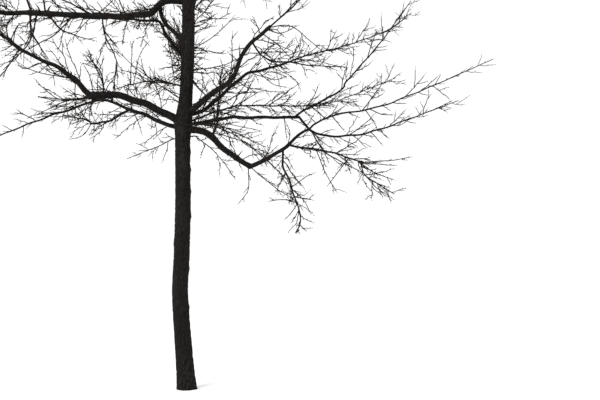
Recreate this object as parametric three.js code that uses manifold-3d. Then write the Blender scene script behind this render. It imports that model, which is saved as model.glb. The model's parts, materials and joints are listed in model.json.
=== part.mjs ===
// A bare winter tree with one straight trunk, open level boughs and leafless twigs.
// Millimetres, +Z up. The origin is the centre of the flat cut under the trunk.
// Bearings turn about +Z from +X, so 90 points to +Y, away from a viewer who has +X on the right.
import * as THREE from 'three';
import { mergeVertices } from 'three/addons/utils/BufferGeometryUtils.js';
import Module from 'manifold-3d';

const wasm = await Module();
wasm.setup();

// Whole tree
const TREE_HEIGHT = 9600;
const CROWN_RADIUS = 3500;
const CROWN_WIDEST_HEIGHT = 4000;
const CROWN_FULLNESS = 1.3;
const LOWEST_TWIG = 1500;
const REACH_PAST_CROWN = 60;
const GOLDEN_ANGLE = 137.5;
const UP = new THREE.Vector3(0, 0, 1);
const ALONG_X = new THREE.Vector3(1, 0, 0);

// Gaps: limbs meet with JOINT_GAP, twigs keep the other distances
const JOINT_GAP = 0.3;
const TWIG_TO_LIMB = 16;
const MASS_TO_MASS = 26;
const SAMPLE_STEP = 25;

// Trunk: [height, lean to +X, lean to +Y] and [height, diameter]
const TRUNK_TOP = 9300;
const TRUNK_LEAN = [
  [0, 0, 0], [500, -44, 5], [1050, -85, 10], [1500, -71, 14], [2100, -62, 20], [2850, -68, 10],
  [3450, -26, -5], [4300, -14, 0], [6400, -60, 30], [TRUNK_TOP, 8, -20],
];
const TRUNK_DIAMETER = [
  [0, 204], [300, 195], [700, 186], [1100, 178], [2050, 176], [2400, 170], [2900, 169],
  [3350, 148], [4400, 144], [6500, 92], [8000, 48], [TRUNK_TOP, 14],
];
const TRUNK_SIDES = 12;
const TRUNK_RINGS = 30;
const RING_CROWDING = 1.15;
const FLARE = { growth: 12, height: 130, lobes: 4, lobeShare: 0.35, lobeTurn: 0.6 };
const WHORL_SWELLING = { growth: 15, height: 3010, halfHeight: 150 };

// Limb tubes
const CURVE_SAMPLES = 10;
const MERGE_DISTANCE = 1e-3;
const BOUGH_SIDES = 7;
const STEM_SIDES = 4;
const BOUGH_RING_STEP = 150;
const STEM_RING_STEP = 280;
const WOBBLE = { share: 0.22, most: 8, wave: 430, riseShare: 0.7, riseWave: 0.73 };
const COLLAR = { growth: 0.28, reach: 0.9 };

// Twigs: a leading one at every third site of a stem, plain ones between, and a second order on
// both. Lengths are shares of a mass's twig reach.
const LEADING = { angle: [26, 46], root: 12, lift: 0.06, share: 1, shortest: 0.8, points: 3 };
const PLAIN = { angle: [32, 60], root: 8, lift: 0.1, share: 0.65, shortest: 0.45, points: 3 };
const SECOND_ORDER = { angle: [32, 58], root: 6, lift: 0.08, share: 0.42, shortest: 0.4, points: 2 };
const LEADING_EACH = 3;
const TWIG_SIDES = 3;
const TWIG_TAPER = 0.4;
const FIRST_SPACING = { least: 70, reachShare: 0.22, bareFoot: 0.6, jitter: [0.7, 1] };
const SECOND_SPACING = { each: 260, tipShare: 0.3, jitter: [0.45, 0.75] };
const REACH_ALONG_STEM = [1, 0.6];
const TURN_JITTER = 50;
const TRIED_LENGTHS = [1, 0.7, 0.45];

// Boughs that the photo shows. Each leaves its parent at a height on the trunk or at a share of
// a bough's length, and passes the stations [out along the bearing, rise] in its own plane.
const BOUGHS = [
  { name: 'low_right_inner', parent: 'trunk', at: 2910, bearing: -15, diameters: [82, 57],
    path: [[200, -20], [300, -60], [440, -190], [620, -330], [800, -440]] },
  { name: 'low_right_outer', parent: 'low_right_inner', at: 1, bearing: -16, diameters: [53, 26],
    path: [[90, 30], [350, 160], [580, 340], [680, 390]] },
  { name: 'level_right', parent: 'trunk', at: 2960, bearing: 6, diameters: [39, 33],
    path: [[210, 30], [520, 90], [900, 100], [1320, 110]] },
  { name: 'back_left', parent: 'trunk', at: 2910, bearing: 150, diameters: [52, 40],
    path: [[150, 50], [320, 100], [500, 190], [740, 270], [850, 310]] },
  { name: 'front_left_inner', parent: 'trunk', at: 2985, bearing: 208, diameters: [86, 72],
    path: [[120, 50], [320, 130], [520, 200], [790, 250], [1040, 220]] },
  { name: 'front_left_outer', parent: 'front_left_inner', at: 1, bearing: 204, diameters: [66, 37],
    path: [[68, 44], [128, 108], [190, 172], [375, 284], [520, 336]] },
  { name: 'right_back', parent: 'trunk', at: 3060, bearing: 36, diameters: [50, 27],
    path: [[230, 80], [400, 210], [590, 380], [830, 580], [1090, 670], [1390, 780]] },
  { name: 'front_right_inner', parent: 'trunk', at: 3060, bearing: -42, diameters: [76, 52],
    path: [[260, 110], [410, 180], [630, 250], [750, 300], [830, 360]] },
  { name: 'front_right_outer', parent: 'front_right_inner', at: 1, bearing: -38, diameters: [48, 36],
    path: [[90, 180], [200, 280], [310, 350], [490, 440]] },
  { name: 'rising_left', parent: 'trunk', at: 3870, bearing: 165, diameters: [56, 41],
    path: [[80, 70], [170, 160], [270, 260], [340, 380], [340, 520]] },
  { name: 'high_left', parent: 'trunk', at: 4380, bearing: 188, diameters: [78, 56],
    path: [[210, 0], [310, -40], [410, -140], [540, -180], [900, -210], [1760, -200]] },
  { name: 'back_middle', parent: 'trunk', at: 3560, bearing: 98, diameters: [62, 34],
    path: [[120, 40], [500, 130], [900, 270], [1250, 430]] },
  { name: 'front_middle', parent: 'trunk', at: 3330, bearing: 278, diameters: [60, 33],
    path: [[120, 50], [450, 120], [800, 180], [1150, 290]] },
];

// Twig masses of the lower crown, each round one stem. reach is the longest twig's length.
const MASSES = [
  { name: 'low_right_tip', parent: 'low_right_outer', at: 1, bearing: -18, diameters: [22, 8],
    reach: 420, path: [[80, 60], [300, 140], [760, 200], [1280, 370], [1960, 630]] },
  { name: 'low_right_side', parent: 'low_right_outer', at: 0.64, bearing: -36, diameters: [26, 9],
    reach: 420, path: [[90, -30], [460, -100], [770, -190], [910, -260], [980, -390], [1310, -590]] },
  { name: 'low_right_hanging', parent: 'low_right_outer', at: 0.53, bearing: -62, diameters: [25, 12],
    reach: 420, path: [[0, -110], [20, -210], [230, -460], [410, -780], [300, -920]] },
  { name: 'low_right_upright', parent: 'low_right_inner', at: 0.39, bearing: 25, diameters: [30, 12],
    reach: 300, path: [[60, 150], [70, 310], [100, 650], [130, 800]] },
  { name: 'level_right_down', parent: 'level_right', at: 1, bearing: -2, diameters: [30, 9],
    reach: 440, path: [[90, -110], [160, -170], [280, -210], [520, -220], [910, -150], [1820, 180]] },
  { name: 'level_right_up', parent: 'level_right', at: 0.96, bearing: 14, diameters: [27, 9],
    reach: 440, path: [[120, 90], [260, 160], [570, 350], [640, 460], [1040, 920], [1440, 1460]] },
  { name: 'right_slim', parent: 'trunk', at: 2960, bearing: 28, diameters: [22, 9],
    reach: 440, path: [[160, 80], [470, 210], [750, 280], [1290, 320], [1900, 400], [2900, 810]] },
  { name: 'right_back_tip', parent: 'right_back', at: 1, bearing: 34, diameters: [22, 9],
    reach: 470, path: [[320, 140], [960, 360], [1650, 660], [2090, 970]] },
  { name: 'front_right_tip', parent: 'front_right_outer', at: 1, bearing: -40, diameters: [28, 9],
    reach: 510, path: [[190, 90], [370, 190], [560, 340], [970, 830]] },
  { name: 'front_right_side', parent: 'front_right_outer', at: 0.6, bearing: -22, diameters: [20, 8],
    reach: 390, path: [[60, -90], [120, -160], [230, -220], [420, -250], [700, -310], [1040, -350]] },
  { name: 'front_left_tip', parent: 'front_left_outer', at: 1, bearing: 200, diameters: [38, 10],
    reach: 490, path: [[230, 110], [420, 240], [810, 420], [1370, 610], [1800, 700]] },
  { name: 'back_left_tip', parent: 'back_left', at: 1, bearing: 176, diameters: [36, 9],
    reach: 440, path: [[160, 75], [270, 100], [400, 90], [660, 0], [1050, -125], [1980, -480]] },
  { name: 'elbow_middle_left', parent: 'front_left_inner', at: 0.9, bearing: 232, diameters: [22, 8],
    reach: 390, path: [[140, -50], [280, -80], [430, -110], [800, -130]] },
  { name: 'elbow_up_left', parent: 'front_left_inner', at: 0.88, bearing: 140, diameters: [20, 9],
    reach: 420, path: [[10, 110], [50, 220], [140, 340], [310, 480]] },
  { name: 'back_left_side', parent: 'back_left', at: 0.94, bearing: 146, diameters: [31, 15],
    reach: 490, path: [[130, -40], [360, -110], [630, -110], [740, -60], [1180, 40]] },
  { name: 'high_left_tip', parent: 'high_left', at: 1, bearing: 186, diameters: [54, 9],
    reach: 450, path: [[300, -10], [780, 40], [1200, 150], [1550, 260]] },
  { name: 'high_left_hanging', parent: 'high_left', at: 0.95, bearing: 200, diameters: [20, 9],
    reach: 440, path: [[20, -120], [40, -240], [110, -390], [220, -520], [340, -660]] },
  { name: 'high_left_inner', parent: 'high_left', at: 0.56, bearing: 250, diameters: [18, 9],
    reach: 360, path: [[-20, -120], [-80, -220], [-260, -400], [-300, -500], [-240, -780]] },
  { name: 'rising_left_tip', parent: 'rising_left', at: 1, bearing: 150, diameters: [36, 9],
    reach: 540, path: [[30, 190], [110, 510], [270, 960], [480, 1540]] },
  { name: 'slender_left', parent: 'trunk', at: 3680, bearing: 230, diameters: [44, 13],
    reach: 470, path: [[90, 60], [230, 160], [320, 250], [400, 360], [540, 360], [1130, 270]] },
  { name: 'crossing_left', parent: 'trunk', at: 3390, bearing: 138, diameters: [22, 9],
    reach: 390, path: [[140, 40], [490, 130], [730, 160], [1240, 160], [1450, 120]] },
  { name: 'trunk_low_left', parent: 'trunk', at: 2790, bearing: 220, diameters: [13, 6],
    reach: 220, path: [[120, 0], [280, -80], [700, -260]] },
  { name: 'trunk_low_right', parent: 'trunk', at: 2860, bearing: -34, diameters: [14, 6],
    reach: 230, path: [[120, -40], [220, -60], [530, -290], [760, -550]] },
  { name: 'slanting_right', parent: 'trunk', at: 2960, bearing: -56, diameters: [17, 6],
    reach: 340, path: [[400, -40], [820, -100], [1250, -240], [1790, -430]] },
  { name: 'back_middle_tip', parent: 'back_middle', at: 1, bearing: 102, diameters: [34, 7],
    reach: 680, path: [[300, 120], [800, 340], [1300, 450], [2000, 680]] },
  { name: 'front_middle_tip', parent: 'front_middle', at: 1, bearing: 284, diameters: [33, 7],
    reach: 660, path: [[300, 100], [700, 250], [1200, 350], [1950, 640]] },
];

// The upper crown, above what the photo shows, follows the same habit by a rule: boughs that end
// in a mass, and masses that leave the trunk between them and above.
const UPPER_BOUGHS = {
  heights: [4640, 5080, 5560, 6100, 6680, 7300], firstBearing: 62, boughShare: 0.42, stemShare: 0.52,
  steepness: [0.3, 0.75], diameterShare: 0.5, taper: 0.55, twigShare: 0.36, turn: 6,
};
const UPPER_MASSES = {
  heights: [4860, 5320, 5830, 6400, 7000, 7650, 8300], firstBearing: 300, share: 0.74,
  steepness: [0.35, 1.05], diameterShare: 0.3, twigShare: 0.36,
};
const UPPER_ARCH = [[0.3, 0.2], [0.65, 0.55], [1, 1]];
const TIP_DIAMETER = 7;
const LEADER = { bearing: 20, diameters: [13, 6], reach: 190, path: [[4, 90], [10, 180], [8, 280]] };
const SHORTEST_REACH = 190;

const toRadians = THREE.MathUtils.degToRad;

// Repeatable random numbers from 0 to 1, the same on every machine.
function randomStream(...keys) {
  let state = keys.reduce((hash, key) => Math.imul(hash ^ (key + 0x9e37), 0x85ebca6b) >>> 0, 17);
  return () => {
    state = (state + 0x6d2b79f5) >>> 0;
    let word = Math.imul(state ^ (state >>> 15), state | 1);
    word ^= word + Math.imul(word ^ (word >>> 7), word | 61);
    return ((word ^ (word >>> 14)) >>> 0) / 4294967296;
  };
}

const between = ([low, high], share) => low + (high - low) * share;

// The value at a height in rows of [height, value, ...], joined by straight lines.
function alongRows(rows, height, column = 1) {
  const above = Math.max(1, rows.findIndex((row) => row[0] >= height));
  const [low, high] = [rows[above - 1], rows[above]];
  return THREE.MathUtils.mapLinear(height, low[0], high[0], low[column], high[column]);
}

const outward = (bearing) =>
  new THREE.Vector3(Math.cos(toRadians(bearing)), Math.sin(toRadians(bearing)), 0);

// A limb's centre line: points, the distance to each, and a vector that its sections turn from.
class CentreLine {
  constructor(points, side) {
    this.points = points;
    this.side = side;
    this.distances = [0];
    for (let i = 1; i < points.length; i += 1) {
      this.distances.push(this.distances[i - 1] + points[i].distanceTo(points[i - 1]));
    }
    this.length = this.distances[points.length - 1];
  }

  segment(distance) {
    let index = 0;
    while (index < this.points.length - 2 && this.distances[index + 1] < distance) index += 1;
    return index;
  }

  pointAt(distance) {
    const i = this.segment(distance);
    const span = this.distances[i + 1] - this.distances[i];
    return this.points[i].clone().lerp(this.points[i + 1], (distance - this.distances[i]) / span);
  }

  tangentAt(distance) {
    const i = this.segment(distance);
    return this.points[i + 1].clone().sub(this.points[i]).normalize();
  }

  // Two directions square to the line, in a right-handed set with its tangent.
  normalsAt(tangent) {
    const first = this.side.clone().addScaledVector(tangent, -this.side.dot(tangent)).normalize();
    return [first, tangent.clone().cross(first)];
  }

  samples(step) {
    const count = Math.max(2, Math.ceil(this.length / step));
    return Array.from({ length: count + 1 }, (_, i) => (this.length * i) / count);
  }
}

// The surface of a round section carried along rings, with flat ends, or a point at the tip.
function loft(rings, tipPoint = null) {
  const sides = rings[0].length;
  const positions = rings.flat().flatMap((point) => point.toArray());
  const triangles = [];
  rings.slice(1).forEach((_, ring) => {
    for (let side = 0; side < sides; side += 1) {
      const [a, b] = [ring * sides + side, ring * sides + ((side + 1) % sides)];
      triangles.push(a, b, b + sides, a, b + sides, a + sides);
    }
  });
  const last = (rings.length - 1) * sides;
  for (let side = 1; side < sides - 1; side += 1) triangles.push(0, side + 1, side);
  if (tipPoint) {
    positions.push(...tipPoint.toArray());
    for (let side = 0; side < sides; side += 1) {
      triangles.push(last + side, last + ((side + 1) % sides), last + sides);
    }
  } else {
    for (let side = 1; side < sides - 1; side += 1) triangles.push(last, last + side, last + side + 1);
  }
  const geometry = new THREE.BufferGeometry();
  geometry.setAttribute('position', new THREE.Float32BufferAttribute(positions, 3));
  geometry.setIndex(triangles);
  return geometry;
}

function ring(centre, first, second, radius, sides) {
  return Array.from({ length: sides }, (_, side) => {
    const turn = (2 * Math.PI * side) / sides;
    const size = typeof radius === 'function' ? radius(turn) : radius;
    return centre.clone()
      .addScaledVector(first, size * Math.cos(turn))
      .addScaledVector(second, size * Math.sin(turn));
  });
}

function toSolid(geometry) {
  const merged = mergeVertices(geometry, MERGE_DISTANCE);
  return new wasm.Manifold(new wasm.Mesh({
    numProp: 3,
    vertProperties: new Float32Array(merged.attributes.position.array),
    triVerts: new Uint32Array(merged.index.array),
  }));
}

function toGeometry(solid) {
  const mesh = solid.getMesh();
  const geometry = new THREE.BufferGeometry();
  geometry.setAttribute('position', new THREE.BufferAttribute(mesh.vertProperties, 3));
  geometry.setIndex(new THREE.BufferAttribute(mesh.triVerts, 1));
  return geometry;
}

// Only the largest body stays, so a loose scrap that a cut leaves is dropped.
function largestBody(solid) {
  return solid.decompose().reduce((best, body) => (body.volume() > best.volume() ? body : best));
}

// Trunk

function trunkCentre(height) {
  return new THREE.Vector3(
    alongRows(TRUNK_LEAN, height, 1), alongRows(TRUNK_LEAN, height, 2), height);
}

// The lean rows are eased into a smooth line, with the foot left exactly at the origin.
function trunkLine() {
  const stations = TRUNK_LEAN.map(([height]) => trunkCentre(height));
  const curve = new THREE.CatmullRomCurve3(stations, false, 'catmullrom', 0.5);
  return new CentreLine(curve.getPoints(CURVE_SAMPLES * (stations.length - 1)), ALONG_X);
}

function trunkRadius(height, turn = 0) {
  const swelling = (height - WHORL_SWELLING.height) / WHORL_SWELLING.halfHeight;
  const lobe = 1 + FLARE.lobeShare * Math.cos(FLARE.lobes * turn + FLARE.lobeTurn);
  return alongRows(TRUNK_DIAMETER, height) / 2
    + FLARE.growth * lobe * Math.exp(-height / FLARE.height)
    + WHORL_SWELLING.growth * Math.exp(-swelling * swelling);
}

// Rings crowd towards the foot, with some more where the flare and the whorl need them.
function trunkHeights() {
  const { height, halfHeight } = WHORL_SWELLING;
  const spread = Array.from({ length: TRUNK_RINGS },
    (_, i) => TRUNK_TOP * (i / (TRUNK_RINGS - 1)) ** RING_CROWDING);
  const shaped = [FLARE.height / 2, FLARE.height, 2 * FLARE.height, height, height - halfHeight];
  return [...spread, ...shaped].sort((a, b) => a - b);
}

function heightOnLine(line, height) {
  const i = Math.max(1, line.points.findIndex((point) => point.z >= height));
  const [low, high] = [line.points[i - 1], line.points[i]];
  const share = (height - low.z) / (high.z - low.z);
  return line.distances[i - 1] + share * (line.distances[i] - line.distances[i - 1]);
}

function trunkGeometry(line, growth) {
  const across = new THREE.Vector3(0, 1, 0);
  const rings = trunkHeights().map((height) => ring(
    line.pointAt(heightOnLine(line, height)).setZ(height), ALONG_X, across,
    (turn) => trunkRadius(height, turn) + growth, TRUNK_SIDES));
  return loft(rings);
}

// Limbs: boughs and the stems of masses

// The stations become a smooth line that also wavers a little, least at its two ends.
function limbLine(row, index, foot) {
  const away = outward(row.bearing);
  const side = new THREE.Vector3(-away.y, away.x, 0);
  const stations = [foot, ...row.path.map(([along, rise]) =>
    foot.clone().addScaledVector(away, along).addScaledVector(UP, rise))];
  const curve = new THREE.CatmullRomCurve3(stations, false, 'catmullrom', 0.5);
  const smooth = new CentreLine(curve.getPoints(CURVE_SAMPLES * (stations.length - 1)), side);
  const random = randomStream(index, 1);
  const [sidePhase, risePhase] = [2 * Math.PI * random(), 2 * Math.PI * random()];
  const points = smooth.points.map((point, i) => {
    const distance = smooth.distances[i];
    const size = Math.min(WOBBLE.most, WOBBLE.share * (row.diameters[0] + row.diameters[1]))
      * Math.sin((Math.PI * distance) / smooth.length);
    const sideTurn = (2 * Math.PI * distance) / WOBBLE.wave + sidePhase;
    const riseTurn = (2 * Math.PI * distance) / (WOBBLE.wave * WOBBLE.riseWave) + risePhase;
    return point.clone()
      .addScaledVector(side, size * Math.sin(sideTurn))
      .addScaledVector(UP, size * WOBBLE.riseShare * Math.sin(riseTurn));
  });
  return new CentreLine(points, side);
}

// A limb thickens towards a side joint, where it grows out of its parent.
function limbRadius(row, line, distance) {
  const [foot, tip] = row.diameters;
  const taper = between([foot, tip], distance / line.length) / 2;
  if (row.at === 1) return taper;
  return taper * (1 + COLLAR.growth * Math.exp(-distance / (COLLAR.reach * row.footDepth)));
}

function limbGeometry(row, line, sides, step, growth) {
  const rings = line.samples(step).map((distance, i) => {
    const tangent = i === 0 && row.startTangent ? row.startTangent : line.tangentAt(distance);
    const [first, second] = line.normalsAt(tangent);
    const centre = line.pointAt(distance);
    return ring(centre, first, second, limbRadius(row, line, distance) + growth, sides);
  });
  if (growth > 0) {
    const [start, end] = [line.tangentAt(0), line.tangentAt(line.length)];
    rings[0].forEach((point) => point.addScaledVector(start, -growth));
    rings[rings.length - 1].forEach((point) => point.addScaledVector(end, growth));
  }
  return loft(rings);
}

// Every limb so far, with its line, its shape grown by the joint's gap and its sample spheres.
const limbs = new Map();

function remember(name, line, radiusAt, grown, isStem) {
  const spheres = line.samples(SAMPLE_STEP).map((distance) => ({
    centre: line.pointAt(distance), radius: radiusAt(distance),
  }));
  limbs.set(name, { line, grown, spheres, isStem, radiusAt });
}

function boxesMeet(a, b) {
  return [0, 1, 2].every((axis) => a.min[axis] <= b.max[axis] && b.min[axis] <= a.max[axis]);
}

// The limb is coped round everything that already stands where its foot comes out.
function cutClear(solid, skipped) {
  const box = solid.boundingBox();
  let result = solid;
  limbs.forEach((limb, name) => {
    if (name !== skipped && boxesMeet(box, limb.grown.boundingBox())) {
      result = result.subtract(limb.grown);
    }
  });
  return largestBody(result);
}

function growLimb(row, index, sides, step, isStem) {
  const parent = limbs.get(row.parent);
  const atTip = row.at === 1;
  const footDistance = row.parent === 'trunk' && !atTip
    ? heightOnLine(parent.line, row.at) : row.at * parent.line.length;
  const foot = parent.line.pointAt(footDistance);
  row.footDepth = parent.radiusAt(footDistance);
  if (atTip) {
    row.startTangent = parent.line.tangentAt(parent.line.length);
    foot.addScaledVector(row.startTangent, JOINT_GAP);
  }
  const line = limbLine(row, index, foot);
  const tube = toSolid(limbGeometry(row, line, sides, step, 0));
  const solid = cutClear(tube, atTip ? row.parent : null);
  const grown = toSolid(limbGeometry(row, line, sides, step, JOINT_GAP));
  remember(row.name, line, (distance) => limbRadius(row, line, distance), grown, isStem);
  return solid;
}

// Twigs

function nearestGap(point, spheres) {
  return spheres.reduce((least, { centre, radius }) =>
    Math.min(least, centre.distanceTo(point) - radius), Infinity);
}

// A twig keeps to its mass's own space: nearer to its own stem than to any other stem, clear of
// every limb, inside the crown and above the clear trunk.
function inOwnSpace(point, owner) {
  const outside = Math.hypot(point.x, point.y) > CROWN_RADIUS + REACH_PAST_CROWN
    || point.z < LOWEST_TWIG || point.z > TREE_HEIGHT;
  if (outside) return false;
  const own = nearestGap(point, limbs.get(owner).spheres);
  return [...limbs].every(([name, limb]) => {
    if (name === owner) return true;
    const gap = nearestGap(point, limb.spheres);
    return limb.isStem ? gap - own > MASS_TO_MASS : gap > TWIG_TO_LIMB;
  });
}

// A twig runs straight out and lifts more and more towards its tip.
function twigLine(root, direction, length, order) {
  const points = Array.from({ length: order.points }, (_, i) => {
    const share = i / (order.points - 1);
    return root.clone().addScaledVector(direction, length * share)
      .addScaledVector(UP, order.lift * length * share * share);
  });
  const turnedFrom = Math.abs(direction.z) < 0.9 ? UP : ALONG_X;
  return new CentreLine(points, direction.clone().cross(turnedFrom).normalize());
}

function twigFits(line, owner) {
  return line.samples(SAMPLE_STEP).slice(1).every((distance) =>
    inOwnSpace(line.pointAt(distance), owner));
}

// The twig at one site of its parent: the rule's angle, turn and length. It is shortened where
// the full length would leave the space, and skipped where no length fits.
function twigAt(parentLine, distance, site, reach, order, owner, random) {
  const tangent = parentLine.tangentAt(distance);
  const [first, second] = parentLine.normalsAt(tangent);
  const angle = toRadians(between(order.angle, random()));
  const turn = toRadians(site * GOLDEN_ANGLE + TURN_JITTER * random());
  const length = reach * order.share * between([order.shortest, 1], random());
  const direction = tangent.clone().multiplyScalar(Math.cos(angle))
    .addScaledVector(first, Math.sin(angle) * Math.cos(turn))
    .addScaledVector(second, Math.sin(angle) * Math.sin(turn));
  const root = parentLine.pointAt(distance);
  return TRIED_LENGTHS.map((share) => twigLine(root, direction, length * share, order))
    .find((line) => twigFits(line, owner));
}

function twigSolid(line, order) {
  const rings = line.points.slice(0, -1).map((point, i) => {
    const [first, second] = line.normalsAt(line.tangentAt(line.distances[i]));
    const radius = (order.root / 2) * (1 - TWIG_TAPER * (i / (order.points - 1)));
    return ring(point, first, second, radius, TWIG_SIDES);
  });
  return toSolid(loft(rings, line.points[line.points.length - 1]));
}

function secondOrderTwigs(twig, reach, owner, index, site) {
  const count = Math.floor(twig.length / SECOND_SPACING.each);
  const slots = count + SECOND_SPACING.tipShare;
  return Array.from({ length: count }, (_, child) => {
    const random = randomStream(index, 3, site, child);
    const distance = twig.length * ((child + between(SECOND_SPACING.jitter, random())) / slots);
    return twigAt(twig, distance, child + site, reach, SECOND_ORDER, owner, random);
  });
}

// All twigs of one stem: the first order on the stem, the second on each of those.
function growTwigs(row, index) {
  const { line } = limbs.get(row.name);
  const spacing = FIRST_SPACING.least + FIRST_SPACING.reachShare * row.reach;
  const count = Math.floor(line.length / spacing - FIRST_SPACING.bareFoot);
  const solids = [];
  for (let site = 0; site < count; site += 1) {
    const random = randomStream(index, 2, site);
    const distance = spacing * (site + between(FIRST_SPACING.jitter, random()));
    const reach = row.reach * between(REACH_ALONG_STEM, distance / line.length);
    const order = site % LEADING_EACH === 0 ? LEADING : PLAIN;
    const twig = twigAt(line, distance, site, reach, order, row.name, random);
    if (twig) {
      solids.push(twigSolid(twig, order));
      secondOrderTwigs(twig, reach, row.name, index, site).filter(Boolean)
        .forEach((side) => solids.push(twigSolid(side, SECOND_ORDER)));
    }
  }
  return solids;
}

// The rows of the upper crown, worked out from the crown's outline

function crownShare(height) {
  return (height - CROWN_WIDEST_HEIGHT) / (TREE_HEIGHT - CROWN_WIDEST_HEIGHT);
}

function crownRadiusAt(height) {
  return CROWN_RADIUS * (1 - crownShare(height) ** CROWN_FULLNESS);
}

function archedPath(reach, steepness) {
  return UPPER_ARCH.map(([out, rise]) => [reach * out, reach * steepness * rise]);
}

// What every upper limb shares: its height, bearing, reach, steepness and thickness at the foot.
function upperLimb(rule, height, i) {
  return {
    height,
    bearing: rule.firstBearing + GOLDEN_ANGLE * i,
    reach: crownRadiusAt(height),
    twigReach: Math.max(SHORTEST_REACH, crownRadiusAt(height) * rule.twigShare),
    steepness: between(rule.steepness, crownShare(height)),
    thickness: rule.diameterShare * alongRows(TRUNK_DIAMETER, height),
  };
}

function upperBough(rule, limb, name) {
  return { name, parent: 'trunk', at: limb.height, bearing: limb.bearing,
    diameters: [limb.thickness, limb.thickness * rule.taper],
    path: archedPath(limb.reach * rule.boughShare, limb.steepness) };
}

function upperTip(rule, limb, name) {
  return { name: `${name}_tip`, parent: name, at: 1, bearing: limb.bearing + rule.turn,
    diameters: [limb.thickness * rule.taper, TIP_DIAMETER], reach: limb.twigReach,
    path: archedPath(limb.reach * rule.stemShare, limb.steepness) };
}

function upperSide(rule, limb, name) {
  return { name, parent: 'trunk', at: limb.height, bearing: limb.bearing,
    diameters: [limb.thickness, TIP_DIAMETER], reach: limb.twigReach,
    path: archedPath(limb.reach * rule.share, limb.steepness) };
}

function upperRows() {
  const tipped = UPPER_BOUGHS.heights.map((height, i) => upperLimb(UPPER_BOUGHS, height, i));
  const sides = UPPER_MASSES.heights.map((height, i) => upperLimb(UPPER_MASSES, height, i));
  return {
    boughs: tipped.map((limb, i) => upperBough(UPPER_BOUGHS, limb, `upper_${i + 1}`)),
    masses: [
      ...tipped.map((limb, i) => upperTip(UPPER_BOUGHS, limb, `upper_${i + 1}`)),
      ...sides.map((limb, i) => upperSide(UPPER_MASSES, limb, `upper_side_${i + 1}`)),
      { name: 'leader', parent: 'trunk', at: 1, ...LEADER },
    ],
  };
}

// The scene graph

const BARK = new THREE.MeshStandardMaterial({ color: 0x262422, roughness: 0.95, metalness: 0 });
const TWIG_BARK = new THREE.MeshStandardMaterial({ color: 0x2a2521, roughness: 0.9, metalness: 0 });

function addMesh(group, name, solid, material) {
  const mesh = new THREE.Mesh(toGeometry(solid), material.clone());
  mesh.name = name;
  group.add(mesh);
}

function buildTree() {
  const tree = new THREE.Group();
  const line = trunkLine();
  const radiusAt = (distance) => trunkRadius(line.pointAt(distance).z);
  remember('trunk', line, radiusAt, toSolid(trunkGeometry(line, JOINT_GAP)), false);
  addMesh(tree, 'trunk', toSolid(trunkGeometry(line, 0)), BARK);
  const upper = upperRows();
  const boughs = [...BOUGHS, ...upper.boughs];
  const masses = [...MASSES, ...upper.masses];
  boughs.forEach((row, i) => {
    const solid = growLimb(row, i, BOUGH_SIDES, BOUGH_RING_STEP, false);
    addMesh(tree, `bough_${row.name}`, solid, BARK);
  });
  const stems = masses.map((row, i) =>
    growLimb(row, boughs.length + i, STEM_SIDES, STEM_RING_STEP, true));
  masses.forEach((row, i) => {
    const twigs = growTwigs(row, boughs.length + i);
    const fused = largestBody(wasm.Manifold.union([stems[i], ...twigs]));
    addMesh(tree, `twigs_${row.name}`, fused, TWIG_BARK);
  });
  return tree;
}

const tree = buildTree();
export default tree;
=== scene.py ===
"""Bare winter tree: bark, limbs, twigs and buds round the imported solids.

Metres, +Z up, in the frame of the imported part. The trunk and every limb follow the centre lines of
the part's source, worked out again here by the same rule and from the same repeatable numbers. The
rows of limbs keep the source's millimetres, and Limb turns them to metres.
"""

import json
import logging
import math
from dataclasses import dataclass, replace
from enum import Enum, IntEnum
from functools import partial
from typing import Any, Iterable, Sequence

import bpy
import numpy as np
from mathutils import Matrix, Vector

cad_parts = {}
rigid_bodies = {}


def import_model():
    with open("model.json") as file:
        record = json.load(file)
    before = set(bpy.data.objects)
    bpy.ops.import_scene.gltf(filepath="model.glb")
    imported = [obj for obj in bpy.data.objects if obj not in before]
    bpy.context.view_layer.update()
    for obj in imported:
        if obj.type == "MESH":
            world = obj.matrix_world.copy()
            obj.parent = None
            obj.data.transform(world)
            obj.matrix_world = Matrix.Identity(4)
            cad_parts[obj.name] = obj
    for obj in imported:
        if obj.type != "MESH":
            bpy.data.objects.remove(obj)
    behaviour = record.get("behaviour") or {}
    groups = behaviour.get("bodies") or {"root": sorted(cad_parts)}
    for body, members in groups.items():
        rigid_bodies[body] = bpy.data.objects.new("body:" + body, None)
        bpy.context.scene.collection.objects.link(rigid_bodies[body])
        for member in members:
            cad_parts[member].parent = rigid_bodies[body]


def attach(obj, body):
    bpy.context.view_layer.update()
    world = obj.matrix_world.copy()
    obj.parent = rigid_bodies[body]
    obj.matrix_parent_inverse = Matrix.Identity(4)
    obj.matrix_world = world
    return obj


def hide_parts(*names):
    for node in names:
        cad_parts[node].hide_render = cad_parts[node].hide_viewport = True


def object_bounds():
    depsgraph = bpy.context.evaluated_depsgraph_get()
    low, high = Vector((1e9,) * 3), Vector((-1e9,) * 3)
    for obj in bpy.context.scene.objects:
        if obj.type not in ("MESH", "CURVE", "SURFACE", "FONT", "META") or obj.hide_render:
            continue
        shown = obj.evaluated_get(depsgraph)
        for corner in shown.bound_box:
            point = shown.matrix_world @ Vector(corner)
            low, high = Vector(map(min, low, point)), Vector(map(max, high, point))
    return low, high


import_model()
CAD_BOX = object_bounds()

LOG = logging.getLogger("bare_winter_tree")
BODY = "root"
MM = 0.001
UP = np.array([0.0, 0.0, 1.0])
ALONG_X = np.array([1.0, 0.0, 0.0])
FULL_TURN = 2 * math.pi
GOLDEN_ANGLE = 137.5
CURVE_SAMPLES = 10
TINY = 1e-12


class Slot(Enum):
    """The record's material slots."""

    BARK = "bark"
    TWIGS = "twigs"


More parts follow.
